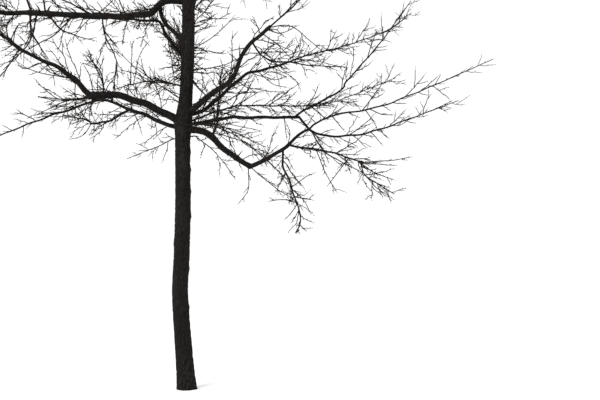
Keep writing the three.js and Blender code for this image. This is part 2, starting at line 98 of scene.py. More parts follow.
class Stream(IntEnum):
    """The key of a stream of draws that says what the numbers are for."""

    WAVER = 1
    FIRST = 2
    SECOND = 3
    FILL = 4
    SPRAY = 5
    SPUR = 6
    LIMB_SHOOT = 7
    CROOK = 8
    TONE = 9
    BUD = 10


# Repeatable numbers

WORD = np.uint64(0xFFFFFFFF)
KEY_OFFSET = np.uint64(0x9E37)
KEY_FACTOR = np.uint64(0x85EBCA6B)
STATE_STEP = np.uint64(0x6D2B79F5)
FIRST_SHIFT, SECOND_SHIFT, LAST_SHIFT = np.uint64(15), np.uint64(7), np.uint64(14)
FIRST_BITS, SECOND_BITS = np.uint64(1), np.uint64(61)
FIRST_STATE = 17


def seeded_draws(count: int, *keys: Any) -> np.ndarray:
    """Numbers from 0 to 1 that are the same for the same keys, as the part's source draws them.

    Each key is mixed into a 32-bit state by an exclusive or and a product. Each draw then adds a
    fixed step to the state and scrambles a copy of it by shifts and products, kept to 32 bits.

    Args:
        count: How many numbers to draw for each set of keys.
        keys: Whole numbers, or arrays of them that are spread over one another.
    Returns:
        The numbers, in the keys' common shape with one more axis of length count.
    """
    arrays = [np.atleast_1d(np.asarray(key)).astype(np.uint64) for key in keys]
    arrays = np.broadcast_arrays(*arrays)
    state = np.full(arrays[0].shape, FIRST_STATE, dtype=np.uint64)
    for key in arrays:
        state = ((state ^ (key + KEY_OFFSET)) * KEY_FACTOR) & WORD
    drawn = np.empty(state.shape + (count,))
    for place in range(count):
        state = (state + STATE_STEP) & WORD
        word = ((state ^ (state >> FIRST_SHIFT)) * (state | FIRST_BITS)) & WORD
        mixed = ((word ^ (word >> SECOND_SHIFT)) * (word | SECOND_BITS)) & WORD
        word = word ^ ((word + mixed) & WORD)
        drawn[..., place] = (word ^ (word >> LAST_SHIFT)).astype(float) / 2.0**32
    return drawn


def between(ends: Sequence[float], share: Any) -> Any:
    """The value at a share of the way from the first end to the second."""
    return ends[0] + (ends[1] - ends[0]) * share


def unit(vectors: np.ndarray) -> np.ndarray:
    """The vectors at length 1."""
    return vectors / np.maximum(np.linalg.norm(vectors, axis=-1, keepdims=True), TINY)


def square_pair(tangents: np.ndarray, sides: np.ndarray) -> tuple[np.ndarray, np.ndarray]:
    """Two directions square to each tangent, in a right-handed set with it.

    Args:
        tangents: Unit vectors.
        sides: The vectors that the first direction lies nearest to.
    Returns:
        The side less its share along the tangent, and the tangent crossed with that.
    """
    along = np.sum(sides * tangents, axis=-1, keepdims=True)
    first = unit(sides - tangents * along)
    return first, np.cross(tangents, first)


def outward(bearing: float) -> np.ndarray:
    """The level direction at a bearing in degrees from +X towards +Y."""
    return np.array([math.cos(math.radians(bearing)), math.sin(math.radians(bearing)), 0.0])


# Centre lines


def smooth_curve(stations: np.ndarray) -> np.ndarray:
    """A Catmull-Rom curve, whose cubic spans leave a station at half the step between its neighbours.

    Args:
        stations: The points it passes, one row each.
    Returns:
        CURVE_SAMPLES points to a span, and the last station.
    """
    padded = np.vstack([2 * stations[0] - stations[1], stations, 2 * stations[-1] - stations[-2]])
    before, start, end, after = padded[:-3], padded[1:-2], padded[2:-1], padded[3:]
    leaving, arriving = (end - before) / 2, (after - start) / 2
    part = (np.arange(CURVE_SAMPLES) / CURVE_SAMPLES)[None, :, None]
    square = 3 * (end - start) - 2 * leaving - arriving
    cube = 2 * (start - end) + leaving + arriving
    spans = start[:, None] + leaving[:, None] * part
    spans = spans + square[:, None] * part**2 + cube[:, None] * part**3
    return np.vstack([spans.reshape(-1, 3), stations[-1]])


class Line:
    """A centre line: its points, the distance to each, and a vector that its sections turn from."""

    def __init__(self, points: np.ndarray, side: np.ndarray) -> None:
        """Measures the line through the points."""
        self.points = points
        self.side = side
        steps = np.linalg.norm(np.diff(points, axis=0), axis=1)
        self.distances = np.concatenate([[0.0], np.cumsum(steps)])
        self.length = float(self.distances[-1])

    def tangent_at(self, distance: Any) -> np.ndarray:
        """The direction of the straight piece that holds each distance."""
        piece = np.searchsorted(self.distances[1:-1], distance, side="left")
        return unit(self.points[piece + 1] - self.points[piece])

    def point_at(self, distance: Any) -> np.ndarray:
        """The points at the distances, run on straight past either end."""
        distance = np.asarray(distance, dtype=float)
        held = np.clip(distance, 0.0, self.length)
        inside = [np.interp(held, self.distances, self.points[:, axis]) for axis in range(3)]
        return np.stack(inside, axis=-1) + self.tangent_at(held) * (distance - held)[..., None]

    def eased_tangent_at(self, distance: Any, reach: float) -> np.ndarray:
        """The direction from a point a reach back along the line to one a reach on."""
        distance = np.asarray(distance, dtype=float)
        return unit(self.point_at(distance + reach) - self.point_at(distance - reach))

    def samples(self, step: float) -> np.ndarray:
        """Even distances from end to end, no further apart than the step, and at least three."""
        count = max(2, math.ceil(self.length / step))
        return self.length * np.arange(count + 1) / count


# Rows of limbs


@dataclass(frozen=True)
class LimbRow:
    """One limb, in the source's millimetres and degrees.

    at is a height on the trunk, a share of the parent's length, or 1 at the parent's tip. bearing is
    from +X towards +Y, diameters are at the foot and the tip, path holds stations out along the
    bearing and up, and reach is the longest twig that grows on the limb.
    """

    name: str
    parent: str
    at: float
    bearing: float
    diameters: tuple[float, float]
    path: tuple[tuple[float, float], ...]
    reach: float = 0.0


BOUGHS = (
    LimbRow("low_right_inner", "trunk", 2910, -15, (82, 57),
            ((200, -20), (300, -60), (440, -190), (620, -330), (800, -440))),
    LimbRow("low_right_outer", "low_right_inner", 1, -16, (53, 26),
            ((90, 30), (350, 160), (580, 340), (680, 390))),
    LimbRow("level_right", "trunk", 2960, 6, (39, 33),
            ((210, 30), (520, 90), (900, 100), (1320, 110))),
    LimbRow("back_left", "trunk", 2910, 150, (52, 40),
            ((150, 50), (320, 100), (500, 190), (740, 270), (850, 310))),
    LimbRow("front_left_inner", "trunk", 2985, 208, (86, 72),
            ((120, 50), (320, 130), (520, 200), (790, 250), (1040, 220))),
    LimbRow("front_left_outer", "front_left_inner", 1, 204, (66, 37),
            ((68, 44), (128, 108), (190, 172), (375, 284), (520, 336))),
    LimbRow("right_back", "trunk", 3060, 36, (50, 27),
            ((230, 80), (400, 210), (590, 380), (830, 580), (1090, 670), (1390, 780))),
    LimbRow("front_right_inner", "trunk", 3060, -42, (76, 52),
            ((260, 110), (410, 180), (630, 250), (750, 300), (830, 360))),
    LimbRow("front_right_outer", "front_right_inner", 1, -38, (48, 36),
            ((90, 180), (200, 280), (310, 350), (490, 440))),
    LimbRow("rising_left", "trunk", 3870, 165, (56, 41),
            ((80, 70), (170, 160), (270, 260), (340, 380), (340, 520))),
    LimbRow("high_left", "trunk", 4380, 188, (78, 56),
            ((210, 0), (310, -40), (410, -140), (540, -180), (900, -210), (1760, -200))),
    LimbRow("back_middle", "trunk", 3560, 98, (62, 34),
            ((120, 40), (500, 130), (900, 270), (1250, 430))),
    LimbRow("front_middle", "trunk", 3330, 278, (60, 33),
            ((120, 50), (450, 120), (800, 180), (1150, 290))),
)

MASSES = (
    LimbRow("low_right_tip", "low_right_outer", 1, -18, (22, 8),
            ((80, 60), (300, 140), (760, 200), (1280, 370), (1960, 630)), 420),
    LimbRow("low_right_side", "low_right_outer", 0.64, -36, (26, 9),
            ((90, -30), (460, -100), (770, -190), (910, -260), (980, -390), (1310, -590)), 420),
    LimbRow("low_right_hanging", "low_right_outer", 0.53, -62, (25, 12),
            ((0, -110), (20, -210), (230, -460), (410, -780), (300, -920)), 420),
    LimbRow("low_right_upright", "low_right_inner", 0.39, 25, (30, 12),
            ((60, 150), (70, 310), (100, 650), (130, 800)), 300),
    LimbRow("level_right_down", "level_right", 1, -2, (30, 9),
            ((90, -110), (160, -170), (280, -210), (520, -220), (910, -150), (1820, 180)), 440),
    LimbRow("level_right_up", "level_right", 0.96, 14, (27, 9),
            ((120, 90), (260, 160), (570, 350), (640, 460), (1040, 920), (1440, 1460)), 440),
    LimbRow("right_slim", "trunk", 2960, 28, (22, 9),
            ((160, 80), (470, 210), (750, 280), (1290, 320), (1900, 400), (2900, 810)), 440),
    LimbRow("right_back_tip", "right_back", 1, 34, (22, 9),
            ((320, 140), (960, 360), (1650, 660), (2090, 970)), 470),
    LimbRow("front_right_tip", "front_right_outer", 1, -40, (19, 9),
            ((190, 90), (370, 190), (560, 340), (970, 830)), 510),
    LimbRow("front_right_side", "front_right_outer", 0.6, -22, (20, 8),
            ((60, -90), (120, -160), (230, -220), (420, -250), (700, -310), (1040, -350)), 390),
    LimbRow("front_left_tip", "front_left_outer", 1, 200, (38, 10),
            ((230, 110), (420, 240), (810, 420), (1370, 610), (1800, 700)), 490),
    LimbRow("back_left_tip", "back_left", 1, 176, (36, 9),
            ((160, 75), (270, 100), (400, 90), (660, 0), (1050, -125), (1980, -480)), 440),
    LimbRow("elbow_middle_left", "front_left_inner", 0.9, 232, (22, 8),
            ((140, -50), (280, -80), (430, -110), (800, -130)), 390),
    LimbRow("elbow_up_left", "front_left_inner", 0.88, 140, (20, 9),
            ((10, 110), (50, 220), (140, 340), (310, 480)), 420),
    LimbRow("back_left_side", "back_left", 0.94, 146, (31, 15),
            ((130, -40), (360, -110), (630, -110), (740, -60), (1180, 40)), 490),
    LimbRow("high_left_tip", "high_left", 1, 186, (54, 9),
            ((300, -10), (780, 40), (1200, 150), (1550, 260)), 450),
    LimbRow("high_left_hanging", "high_left", 0.95, 200, (20, 9),
            ((20, -120), (40, -240), (110, -390), (220, -520), (340, -660)), 440),
    LimbRow("high_left_inner", "high_left", 0.56, 250, (18, 9),
            ((-20, -120), (-80, -220), (-260, -400), (-300, -500), (-240, -780)), 360),
    LimbRow("rising_left_tip", "rising_left", 1, 150, (36, 9),
            ((30, 190), (110, 510), (270, 960), (480, 1540)), 540),
    LimbRow("slender_left", "trunk", 3680, 230, (44, 13),
            ((90, 60), (230, 160), (320, 250), (400, 360), (540, 360), (1130, 270)), 470),
    LimbRow("crossing_left", "trunk", 3390, 138, (22, 9),
            ((140, 40), (490, 130), (730, 160), (1240, 160), (1450, 120)), 390),
    LimbRow("trunk_low_left", "trunk", 2790, 220, (13, 6), ((120, 0), (280, -80), (700, -260)), 220),
    LimbRow("trunk_low_right", "trunk", 2860, -34, (14, 6),
            ((120, -40), (220, -60), (530, -290), (760, -550)), 230),
    LimbRow("slanting_right", "trunk", 2960, -56, (17, 6),
            ((400, -40), (820, -100), (1250, -240), (1790, -430)), 340),
    LimbRow("back_middle_tip", "back_middle", 1, 102, (34, 7),
            ((300, 120), (800, 340), (1300, 450), (2000, 680)), 680),
    LimbRow("front_middle_tip", "front_middle", 1, 284, (33, 7),
            ((300, 100), (700, 250), (1200, 350), (1950, 640)), 660),
)
LEADER = LimbRow("leader", "trunk", 1, 20, (13, 6), ((4, 90), (10, 180), (8, 280)), 190)

# How full of fine twigs the photograph shows a member, against 1 for a plain one
FULLNESS = {
    "low_right_tip": 0.4, "level_right_down": 0.8, "level_right_up": 0.6, "right_slim": 1.4,
    "right_back_tip": 1.1, "front_right_tip": 0.7, "front_right_side": 0.9, "low_right_side": 1.3,
    "low_right_hanging": 1.2, "back_left_side": 1.5, "elbow_up_left": 1.3, "back_left_tip": 0.7,
    "high_left_tip": 2.5, "high_left_hanging": 0.8, "high_left_inner": 1.3, "high_left": 2.3,
    "front_left_outer": 1.3, "front_left_inner": 1.5, "back_left": 1.3, "crossing_left": 1.4,
    "slender_left": 1.4, "low_right_inner": 0.5, "level_right": 0.7, "right_back": 1.6,
    "front_right_inner": 1.6, "front_right_outer": 1.4, "low_right_upright": 1.5,
}
PLAIN_FULLNESS = 1.0
UNSEEN_FULLNESS = 1.4
UNSEEN_NAMES = ("upper", "front_middle", "back_middle")


@dataclass(frozen=True)
class Branchlet:
    """A thin side branch of the photograph, in a LimbRow's terms, with its two stations."""

    parent: str
    at: float
    bearing: float
    middle: tuple[float, float]
    tip: tuple[float, float]
    diameters: tuple[float, float] = (13, 8)
    twig_share: float = 0.3

    def row(self, number: int) -> LimbRow:
        """The branchlet as a limb, whose longest twig is a share of its length."""
        reach = self.twig_share * math.hypot(*self.tip)
        return LimbRow(f"branchlet_{number}", self.parent, self.at, self.bearing, self.diameters,
                       (self.middle, self.tip), reach)


BRANCHLETS = (
    Branchlet("trunk", 3555, 0, (140, -185), (225, -270), (30, 16)),
    Branchlet("trunk", 3830, 10, (135, 5), (240, -45), (24, 12)),
    Branchlet("trunk", 3580, 15, (375, 70), (610, 185), (17, 8)),
    Branchlet("trunk", 4060, -30, (205, 25), (330, 90), (19, 8)),
    Branchlet("trunk", 3785, 25, (345, 255), (565, 495)),
    Branchlet("trunk", 2938, -38, (945, -255), (1590, -735), (15, 8)),
    Branchlet("trunk", 2970, 35, (530, 45), (1045, 5)),
    Branchlet("front_right_outer", 0.98, 5, (230, 15), (550, -230), (14, 8)),
    Branchlet("front_right_outer", 0.94, -30, (160, -65), (380, -10)),
    Branchlet("front_right_outer", 0.83, -10, (180, -145), (290, -265)),
    Branchlet("front_right_outer", 0.47, 200, (85, -20), (200, -50)),
    Branchlet("front_right_outer", 0.1, 200, (55, 0), (110, 15)),
    Branchlet("front_right_inner", 0.62, -15, (280, -30), (560, -30)),
    Branchlet("right_back", 0.54, 10, (150, -85), (590, -125)),
    Branchlet("right_back", 0.74, 10, (195, -150), (380, -190)),
    Branchlet("right_back_tip", 0.08, 5, (300, -30), (640, -100)),
    Branchlet("right_slim", 0.22, 15, (200, 120), (300, 185)),
    Branchlet("level_right", 0.87, -20, (15, -90), (35, -265), (14, 8)),
    Branchlet("low_right_inner", 0.99, -20, (265, -215), (575, -415)),
    Branchlet("low_right_inner", 0.98, 230, (10, -270), (165, -440)),
    Branchlet("low_right_outer", 0.61, 30, (30, 140), (-20, 260)),
    Branchlet("level_right_down", 0.11, -30, (190, -260), (680, -525), (22, 9)),
    Branchlet("level_right_down", 0.46, -20, (70, -72), (145, -165)),
    Branchlet("level_right_down", 0.52, -40, (60, -75), (125, -120)),
    Branchlet("low_right_side", 0.63, -40, (205, -125), (435, -205)),
    Branchlet("low_right_side", 0.73, -30, (125, -128), (260, -222)),
    Branchlet("low_right_side", 0.63, 0, (280, 15), (540, 55)),
    Branchlet("low_right_side", 0.64, -20, (195, -18), (375, -33)),
    Branchlet("low_right_side", 0.25, -50, (140, -240), (330, -480)),
    Branchlet("low_right_side", 0.54, 200, (100, -125), (240, -295)),
    Branchlet("low_right_hanging", 0.48, -30, (135, -110), (235, -270)),
    Branchlet("low_right_hanging", 0.46, -30, (155, 95), (290, 145)),
    Branchlet("low_right_hanging", 0.66, 220, (80, -105), (175, -175)),
    Branchlet("low_right_hanging", 0.65, 200, (150, 35), (315, 10)),
    Branchlet("low_right_tip", 0.34, -20, (138, -63), (280, -80)),
    Branchlet("low_right_tip", 0.32, -40, (95, -118), (160, -230)),
    Branchlet("low_right_tip", 0.14, -10, (80, -103), (140, -170)),
    Branchlet("trunk", 3615, 212, (280, -235), (580, -420)),
    Branchlet("trunk", 3220, 205, (490, 285), (805, 530), (14, 8)),
    Branchlet("trunk", 3607, 190, (143, -45), (218, -95)),
    Branchlet("slender_left", 0.29, 300, (95, -220), (195, -475)),
    Branchlet("crossing_left", 0.72, 120, (-10, 300), (-80, 540)),
    Branchlet("crossing_left", 0.68, 40, (85, 380), (215, 565)),
    Branchlet("crossing_left", 0.44, 175, (195, 90), (405, 155)),
    Branchlet("front_left_outer", 0.98, 10, (125, -125), (280, -180)),
    Branchlet("front_left_outer", 0.96, 225, (230, -108), (345, 0)),
    Branchlet("front_left_outer", 0.38, 270, (10, -218), (-5, -420)),
    Branchlet("front_left_inner", 0.98, 200, (50, 210), (118, 340)),
    Branchlet("front_left_inner", 0.94, 240, (5, 145), (-5, 245)),
    Branchlet("front_left_inner", 0.88, 20, (50, 115), (110, 185)),
    Branchlet("high_left", 0.98, 200, (35, 95), (100, 290), (32, 20)),
    Branchlet("high_left", 0.6, 190, (215, 105), (480, 220), (24, 15)),
    Branchlet("high_left", 0.41, 195, (65, 130), (150, 330), (19, 11)),
    Branchlet("high_left", 0.62, 30, (125, 100), (270, 260)),
    Branchlet("high_left", 0.89, 5, (195, -200), (545, -300), (26, 8)),
    Branchlet("high_left", 0.73, 205, (205, -240), (505, -450), (22, 10)),
    Branchlet("high_left_hanging", 0.32, 20, (130, -225), (178, -285)),
    Branchlet("front_left_tip", 0.13, 230, (100, -165), (230, -350), (18, 10)),
    Branchlet("front_left_tip", 0.17, 40, (14, 130), (62, 225)),
    Branchlet("front_left_tip", 0.17, 235, (90, -74), (160, -112)),
    Branchlet("back_left", 0.88, 30, (65, -118), (120, -280)),
    Branchlet("back_left_tip", 0.41, 200, (140, -8), (274, -46)),
    Branchlet("back_left_side", 0.55, 200, (93, -148), (263, -212)),
    Branchlet("front_left_outer", 0.46, 230, (0, 40), (10, 66), (34, 20)),
    Branchlet("front_left_inner", 0.99, 200, (20, -145), (0, -220), (22, 10)),
    Branchlet("front_left_inner", 0.93, 240, (110, -125), (225, -200), (16, 9)),
    Branchlet("front_left_inner", 0.98, 200, (305, -85), (600, -245), (18, 8)),
    Branchlet("front_left_inner", 0.97, 190, (350, -65), (585, -35), (14, 8)),
    Branchlet("high_left", 0.99, 240, (-10, -225), (80, -415), (24, 13)),
    Branchlet("high_left", 0.985, 20, (10, -225), (205, -520), (20, 8)),
    Branchlet("front_left_outer", 0.41, 210, (325, 25), (600, 85), (14, 8)),
    Branchlet("front_left_outer", 0.42, 200, (230, 45), (350, 135), (14, 8)),
    Branchlet("trunk", 3006, -40, (780, -215), (1630, -790), (15, 8)),
    Branchlet("low_right_inner", 0.8, 20, (40, 50), (75, 90), (16, 9)),
    Branchlet("low_right_inner", 0.8, 200, (5, 48), (50, 86), (15, 9)),
    Branchlet("high_left", 0.9, 195, (16, 106), (33, 195), (24, 18)),
    Branchlet("high_left", 0.89, 10, (20, 64), (42, 93), (28, 14)),
    Branchlet("high_left", 0.93, 190, (28, 70), (55, 102), (26, 12)),
    Branchlet("front_left_tip", 0.19, 0, (75, 165), (180, 200), (15, 8)),
    Branchlet("front_left_tip", 0.2, 205, (32, 128), (94, 226), (14, 8)),
    Branchlet("high_left", 0.78, 205, (45, -100), (110, -165), (16, 8)),
    Branchlet("high_left", 0.67, 220, (30, -100), (90, -180), (16, 8)),
)


# Whole tree


@dataclass(frozen=True)
class Crown:
    """The crown's outline and the gaps that its twigs keep."""

    height: float = 9.6
    radius: float = 3.5
    widest_height: float = 4.0
    fullness: float = 1.3
    lowest_twig: float = 1.5
    reach_past: float = 0.06
    shortest_reach: float = 0.19
    twig_to_limb: float = 0.016
    mass_to_mass: float = 0.026
    sample_step: float = 0.025

    def share(self, height: float) -> float:
        """How far up a height is from the widest place to the top."""
        return (height - self.widest_height) / (self.height - self.widest_height)

    def radius_at(self, height: float) -> float:
        """The outline's radius: the widest, less the height's share raised to the fullness."""
        return self.radius * (1 - self.share(height) ** self.fullness)

    def twig_reach_at(self, height: float, share: float) -> float:
        """The longest twig at a height, as a share of the outline's radius there."""
        return max(self.shortest_reach, self.radius_at(height) * share)

    def holds(self, points: np.ndarray) -> np.ndarray:
        """Whether each point is inside the widest circle, above the clear trunk and below the top."""
        wide = np.hypot(points[..., 0], points[..., 1]) <= self.radius + self.reach_past
        return wide & (points[..., 2] >= self.lowest_twig) & (points[..., 2] <= self.height)


@dataclass(frozen=True)
class TrunkForm:
    """The trunk's lean and thickness, with its root flare and the swelling at the lowest whorl."""

    top: float = 9.3
    lean: tuple[tuple[float, float, float], ...] = (
        (0.0, 0.0, 0.0), (0.5, -0.044, 0.005), (1.05, -0.085, 0.010), (1.5, -0.071, 0.014),
        (2.1, -0.062, 0.020), (2.85, -0.068, 0.010), (3.45, -0.026, -0.005), (4.3, -0.014, 0.0),
        (6.4, -0.060, 0.030), (9.3, 0.008, -0.020),
    )
    diameters: tuple[tuple[float, float], ...] = (
        (0.0, 0.204), (0.3, 0.195), (0.7, 0.186), (1.1, 0.178), (2.05, 0.176), (2.4, 0.170),
        (2.9, 0.169), (3.35, 0.148), (4.4, 0.144), (6.5, 0.092), (8.0, 0.048), (9.3, 0.014),
    )
    flare_growth: float = 0.012
    flare_height: float = 0.13
    flare_lobes: int = 4
    lobe_share: float = 0.35
    lobe_turn: float = 0.6
    swelling_growth: float = 0.015
    swelling_height: float = 3.01
    swelling_half_height: float = 0.15

    def line(self) -> Line:
        """The smooth line through the lean's stations, whose sections turn from +X."""
        return Line(smooth_curve(np.array([(x, y, z) for z, x, y in self.lean])), ALONG_X)

    def diameter(self, height: Any) -> Any:
        """The plain diameter at a height, straight between the rows."""
        heights, diameters = np.array(self.diameters).T
        return np.interp(height, heights, diameters)

    def radius(self, height: Any, turn: Any = 0.0) -> Any:
        """Half the diameter, plus a lobed flare that dies away upwards and a bell-shaped swelling."""
        away = (height - self.swelling_height) / self.swelling_half_height
        lobes = 1 + self.lobe_share * np.cos(self.flare_lobes * turn + self.lobe_turn)
        flare = self.flare_growth * lobes * np.exp(-height / self.flare_height)
        return self.diameter(height) / 2 + flare + self.swelling_growth * np.exp(-away * away)


class Trunk:
    """The trunk as a parent of limbs, with a number for its draws that no limb reaches."""

    name = "trunk"
    index = 900
    row = LimbRow("trunk", "", 0, 0, (0, 0), ())

    def __init__(self, form: TrunkForm) -> None:
        """Keeps the form and works out its line."""
        self.form = form
        self.line = form.line()

    def radius_at(self, distance: Any) -> Any:
        """The radius at distances along the line."""
        return self.form.radius(self.line.point_at(distance)[..., 2])

    def distance_of(self, at: float) -> float:
        """The distance to a height in millimetres, or to the tip where at is 1."""
        if at == 1:
            return self.line.length
        return float(np.interp(at * MM, self.line.points[:, 2], self.line.distances))


class Limb:
    """A bough, or the stem of a mass: its centre line and its thickness along it.

    A limb that goes on from its parent's tip keeps a joint gap to it, and one that leaves a side has
    a collar at its foot.
    """

    joint_gap = 0.0003
    waver_share = 0.22
    waver_most = 0.008
    waver_length = 0.43
    waver_rise_share = 0.7
    waver_rise_length = 0.73
    collar_growth = 0.28
    collar_reach = 0.9

    def __init__(self, row: LimbRow, index: int, parent: "Trunk | Limb") -> None:
        """Grows the limb from its parent.

        Args:
            row: The limb's row.
            index: Its number among all limbs, which seeds its draws.
            parent: What it leaves.
        """
        self.name = row.name
        self.row = row
        self.index = index
        self.parent = parent
        self.continues = row.at == 1
        self.diameters = (row.diameters[0] * MM, row.diameters[1] * MM)
        self.foot_distance = parent.distance_of(row.at)
        self.foot_depth = float(parent.radius_at(self.foot_distance))
        foot = parent.line.point_at(self.foot_distance)
        if self.continues:
            foot = foot + parent.line.tangent_at(parent.line.length) * self.joint_gap
        self.line = self.wavering_line(foot)

    def wavering_line(self, foot: np.ndarray) -> Line:
        """The smooth line through the stations, moved sideways and up by two sines.

        The sines' size is a share of the limb's thickness, up to a limit, times a half wave over its
        length, so it is nothing at either end.
        """
        away = outward(self.row.bearing)
        side = np.array([-away[1], away[0], 0.0])
        path = np.array(self.row.path) * MM
        stations = np.vstack([foot, foot + path[:, :1] * away + path[:, 1:] * UP])
        smooth = Line(smooth_curve(stations), side)
        side_phase, rise_phase = FULL_TURN * seeded_draws(2, self.index, Stream.WAVER)[0]
        most = min(self.waver_most, self.waver_share * sum(self.diameters))
        size = most * np.sin(math.pi * smooth.distances / smooth.length)
        turn = FULL_TURN * smooth.distances / self.waver_length
        sideways = size * np.sin(turn + side_phase)
        upwards = size * self.waver_rise_share * np.sin(turn / self.waver_rise_length + rise_phase)
        return Line(smooth.points + sideways[:, None] * side + upwards[:, None] * UP, side)

    def radius_at(self, distance: Any) -> Any:
        """Half the even taper, thicker by a share that dies away from a side joint."""
        distance = np.asarray(distance, dtype=float)
        held = np.clip(distance, 0.0, self.line.length)
        taper = between(self.diameters, held / self.line.length) / 2
        if self.continues:
            return taper
        collar = np.exp(-held / (self.collar_reach * self.foot_depth))
        return taper * (1 + self.collar_growth * collar)

    def distance_of(self, at: float) -> float:
        """The distance at a share of the length."""
        return at * self.line.length


Member = Trunk | Limb


@dataclass(frozen=True)
class UpperRule:
    """How the limbs above the photograph's edge are spaced up the trunk and shaped.

    Heights are in metres. A limb's bearing turns on by the golden angle, and its reach is a share of
    the crown's radius at its height.
    """

    heights: tuple[float, ...]
    first_bearing: float
    steepness: tuple[float, float]
    diameter_share: float
    reach_shares: tuple[float, ...]
    taper: float = 0.55
    tip_turn: float = 6.0
    tip_diameter: float = 7.0
    twig_share: float = 0.36
    arch: tuple[tuple[float, float], ...] = ((0.3, 0.2), (0.65, 0.55), (1.0, 1.0))


UPPER_BOUGHS = UpperRule(heights=(4.64, 5.08, 5.56, 6.1, 6.68, 7.3), first_bearing=62,
                         steepness=(0.3, 0.75), diameter_share=0.5, reach_shares=(0.42, 0.52))
UPPER_SIDES = UpperRule(heights=(4.86, 5.32, 5.83, 6.4, 7.0, 7.65, 8.3), first_bearing=300,
                        steepness=(0.35, 1.05), diameter_share=0.3, reach_shares=(0.74,))


class Skeleton:
    """The trunk and every limb, grown in the source's order."""

    def __init__(self, crown: Crown, form: TrunkForm) -> None:
        """Grows the boughs first and then the stems of the masses."""
        self.crown = crown
        self.trunk = Trunk(form)
        self.members: dict[str, Member] = {"trunk": self.trunk}
        upper_boughs, upper_tips = self.tipped_rows(UPPER_BOUGHS)
        bough_rows = (*BOUGHS, *upper_boughs)
        mass_rows = (*MASSES, *upper_tips, *self.side_rows(UPPER_SIDES), LEADER)
        self.boughs = [self.grow(row, i) for i, row in enumerate(bough_rows)]
        self.stems = [self.grow(row, len(bough_rows) + i) for i, row in enumerate(mass_rows)]
        first = len(bough_rows) + len(mass_rows)
        self.branchlets = [Limb(branchlet.row(i), first + i, self.members[branchlet.parent])
                           for i, branchlet in enumerate(BRANCHLETS)]

    def grow(self, row: LimbRow, index: int) -> Limb:
        """Grows one limb from its parent and keeps it by name."""
        limb = Limb(row, index, self.members[row.parent])
        self.members[row.name] = limb
        return limb

    def upper_limb(self, rule: UpperRule, place: int) -> tuple[float, float, float, float, float]:
        """A limb's height, bearing and steepness, and its thickness and twig reach in millimetres."""
        height = rule.heights[place]
        bearing = rule.first_bearing + GOLDEN_ANGLE * place
        steepness = between(rule.steepness, self.crown.share(height))
        thickness = rule.diameter_share * float(self.trunk.form.diameter(height)) / MM
        reach = self.crown.twig_reach_at(height, rule.twig_share) / MM
        return height, bearing, steepness, thickness, reach

    def arched(self, rule: UpperRule, height: float, share: float, steepness: float) -> tuple:
        """Stations out to a share of the crown's radius, steeper the further out."""
        reach = self.crown.radius_at(height) * share / MM
        return tuple((reach * out, reach * steepness * rise) for out, rise in rule.arch)

    def tipped_rows(self, rule: UpperRule) -> tuple[list[LimbRow], list[LimbRow]]:
        """The rows of the upper boughs, and of the masses at their tips."""
        boughs, tips = [], []
        for place in range(len(rule.heights)):
            height, bearing, steepness, thickness, reach = self.upper_limb(rule, place)
            name = f"upper_{place + 1}"
            end = thickness * rule.taper
            inner, outer = (self.arched(rule, height, share, steepness) for share in rule.reach_shares)
            boughs.append(LimbRow(name, "trunk", height / MM, bearing, (thickness, end), inner))
            tips.append(LimbRow(f"{name}_tip", name, 1, bearing + rule.tip_turn,
                                (end, rule.tip_diameter), outer, reach))
        return boughs, tips

    def side_rows(self, rule: UpperRule) -> list[LimbRow]:
        """The rows of the masses that leave the trunk between and above the upper boughs."""
        rows = []
        for place in range(len(rule.heights)):
            height, bearing, steepness, thickness, reach = self.upper_limb(rule, place)
            path = self.arched(rule, height, rule.reach_shares[0], steepness)
            rows.append(LimbRow(f"upper_side_{place + 1}", "trunk", height / MM, bearing,
                                (thickness, rule.tip_diameter), path, reach))
        return rows

    def children_of(self, name: str) -> list[Limb]:
        """The limbs that leave a member from its side."""
        return [limb for limb in (*self.boughs, *self.stems, *self.branchlets)
                if limb.parent.name == name and not limb.continues]

    def spheres_of(self, member: Member) -> tuple[np.ndarray, np.ndarray]:
        """The centres and radii of the spheres that fill a member, a sample step apart."""
        distances = member.line.samples(self.crown.sample_step)
        return member.line.point_at(distances), np.asarray(member.radius_at(distances))


# The space of each mass


def nearest_gap(points: np.ndarray, centres: np.ndarray, radii: np.ndarray) -> np.ndarray:
    """The gap from each point to the nearest sphere, worked out a block of points at a time."""
    block = 4096
    gaps = np.full(len(points), np.inf)
    if len(centres) == 0:
        return gaps
    for start in range(0, len(points), block):
        part = points[start:start + block]
        squares = (part**2).sum(1)[:, None] + (centres**2).sum(1)[None] - 2 * part @ centres.T
        gaps[start:start + block] = (np.sqrt(np.maximum(squares, 0.0)) - radii).min(axis=1)
    return gaps


def in_model_box(points: np.ndarray) -> np.ndarray:
    """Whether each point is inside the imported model's box, or past it by a hand's width at most."""
    past = 0.09
    low, high = (np.array(corner) for corner in CAD_BOX)
    return ((points > low - past) & (points < high + past)).all(axis=1)


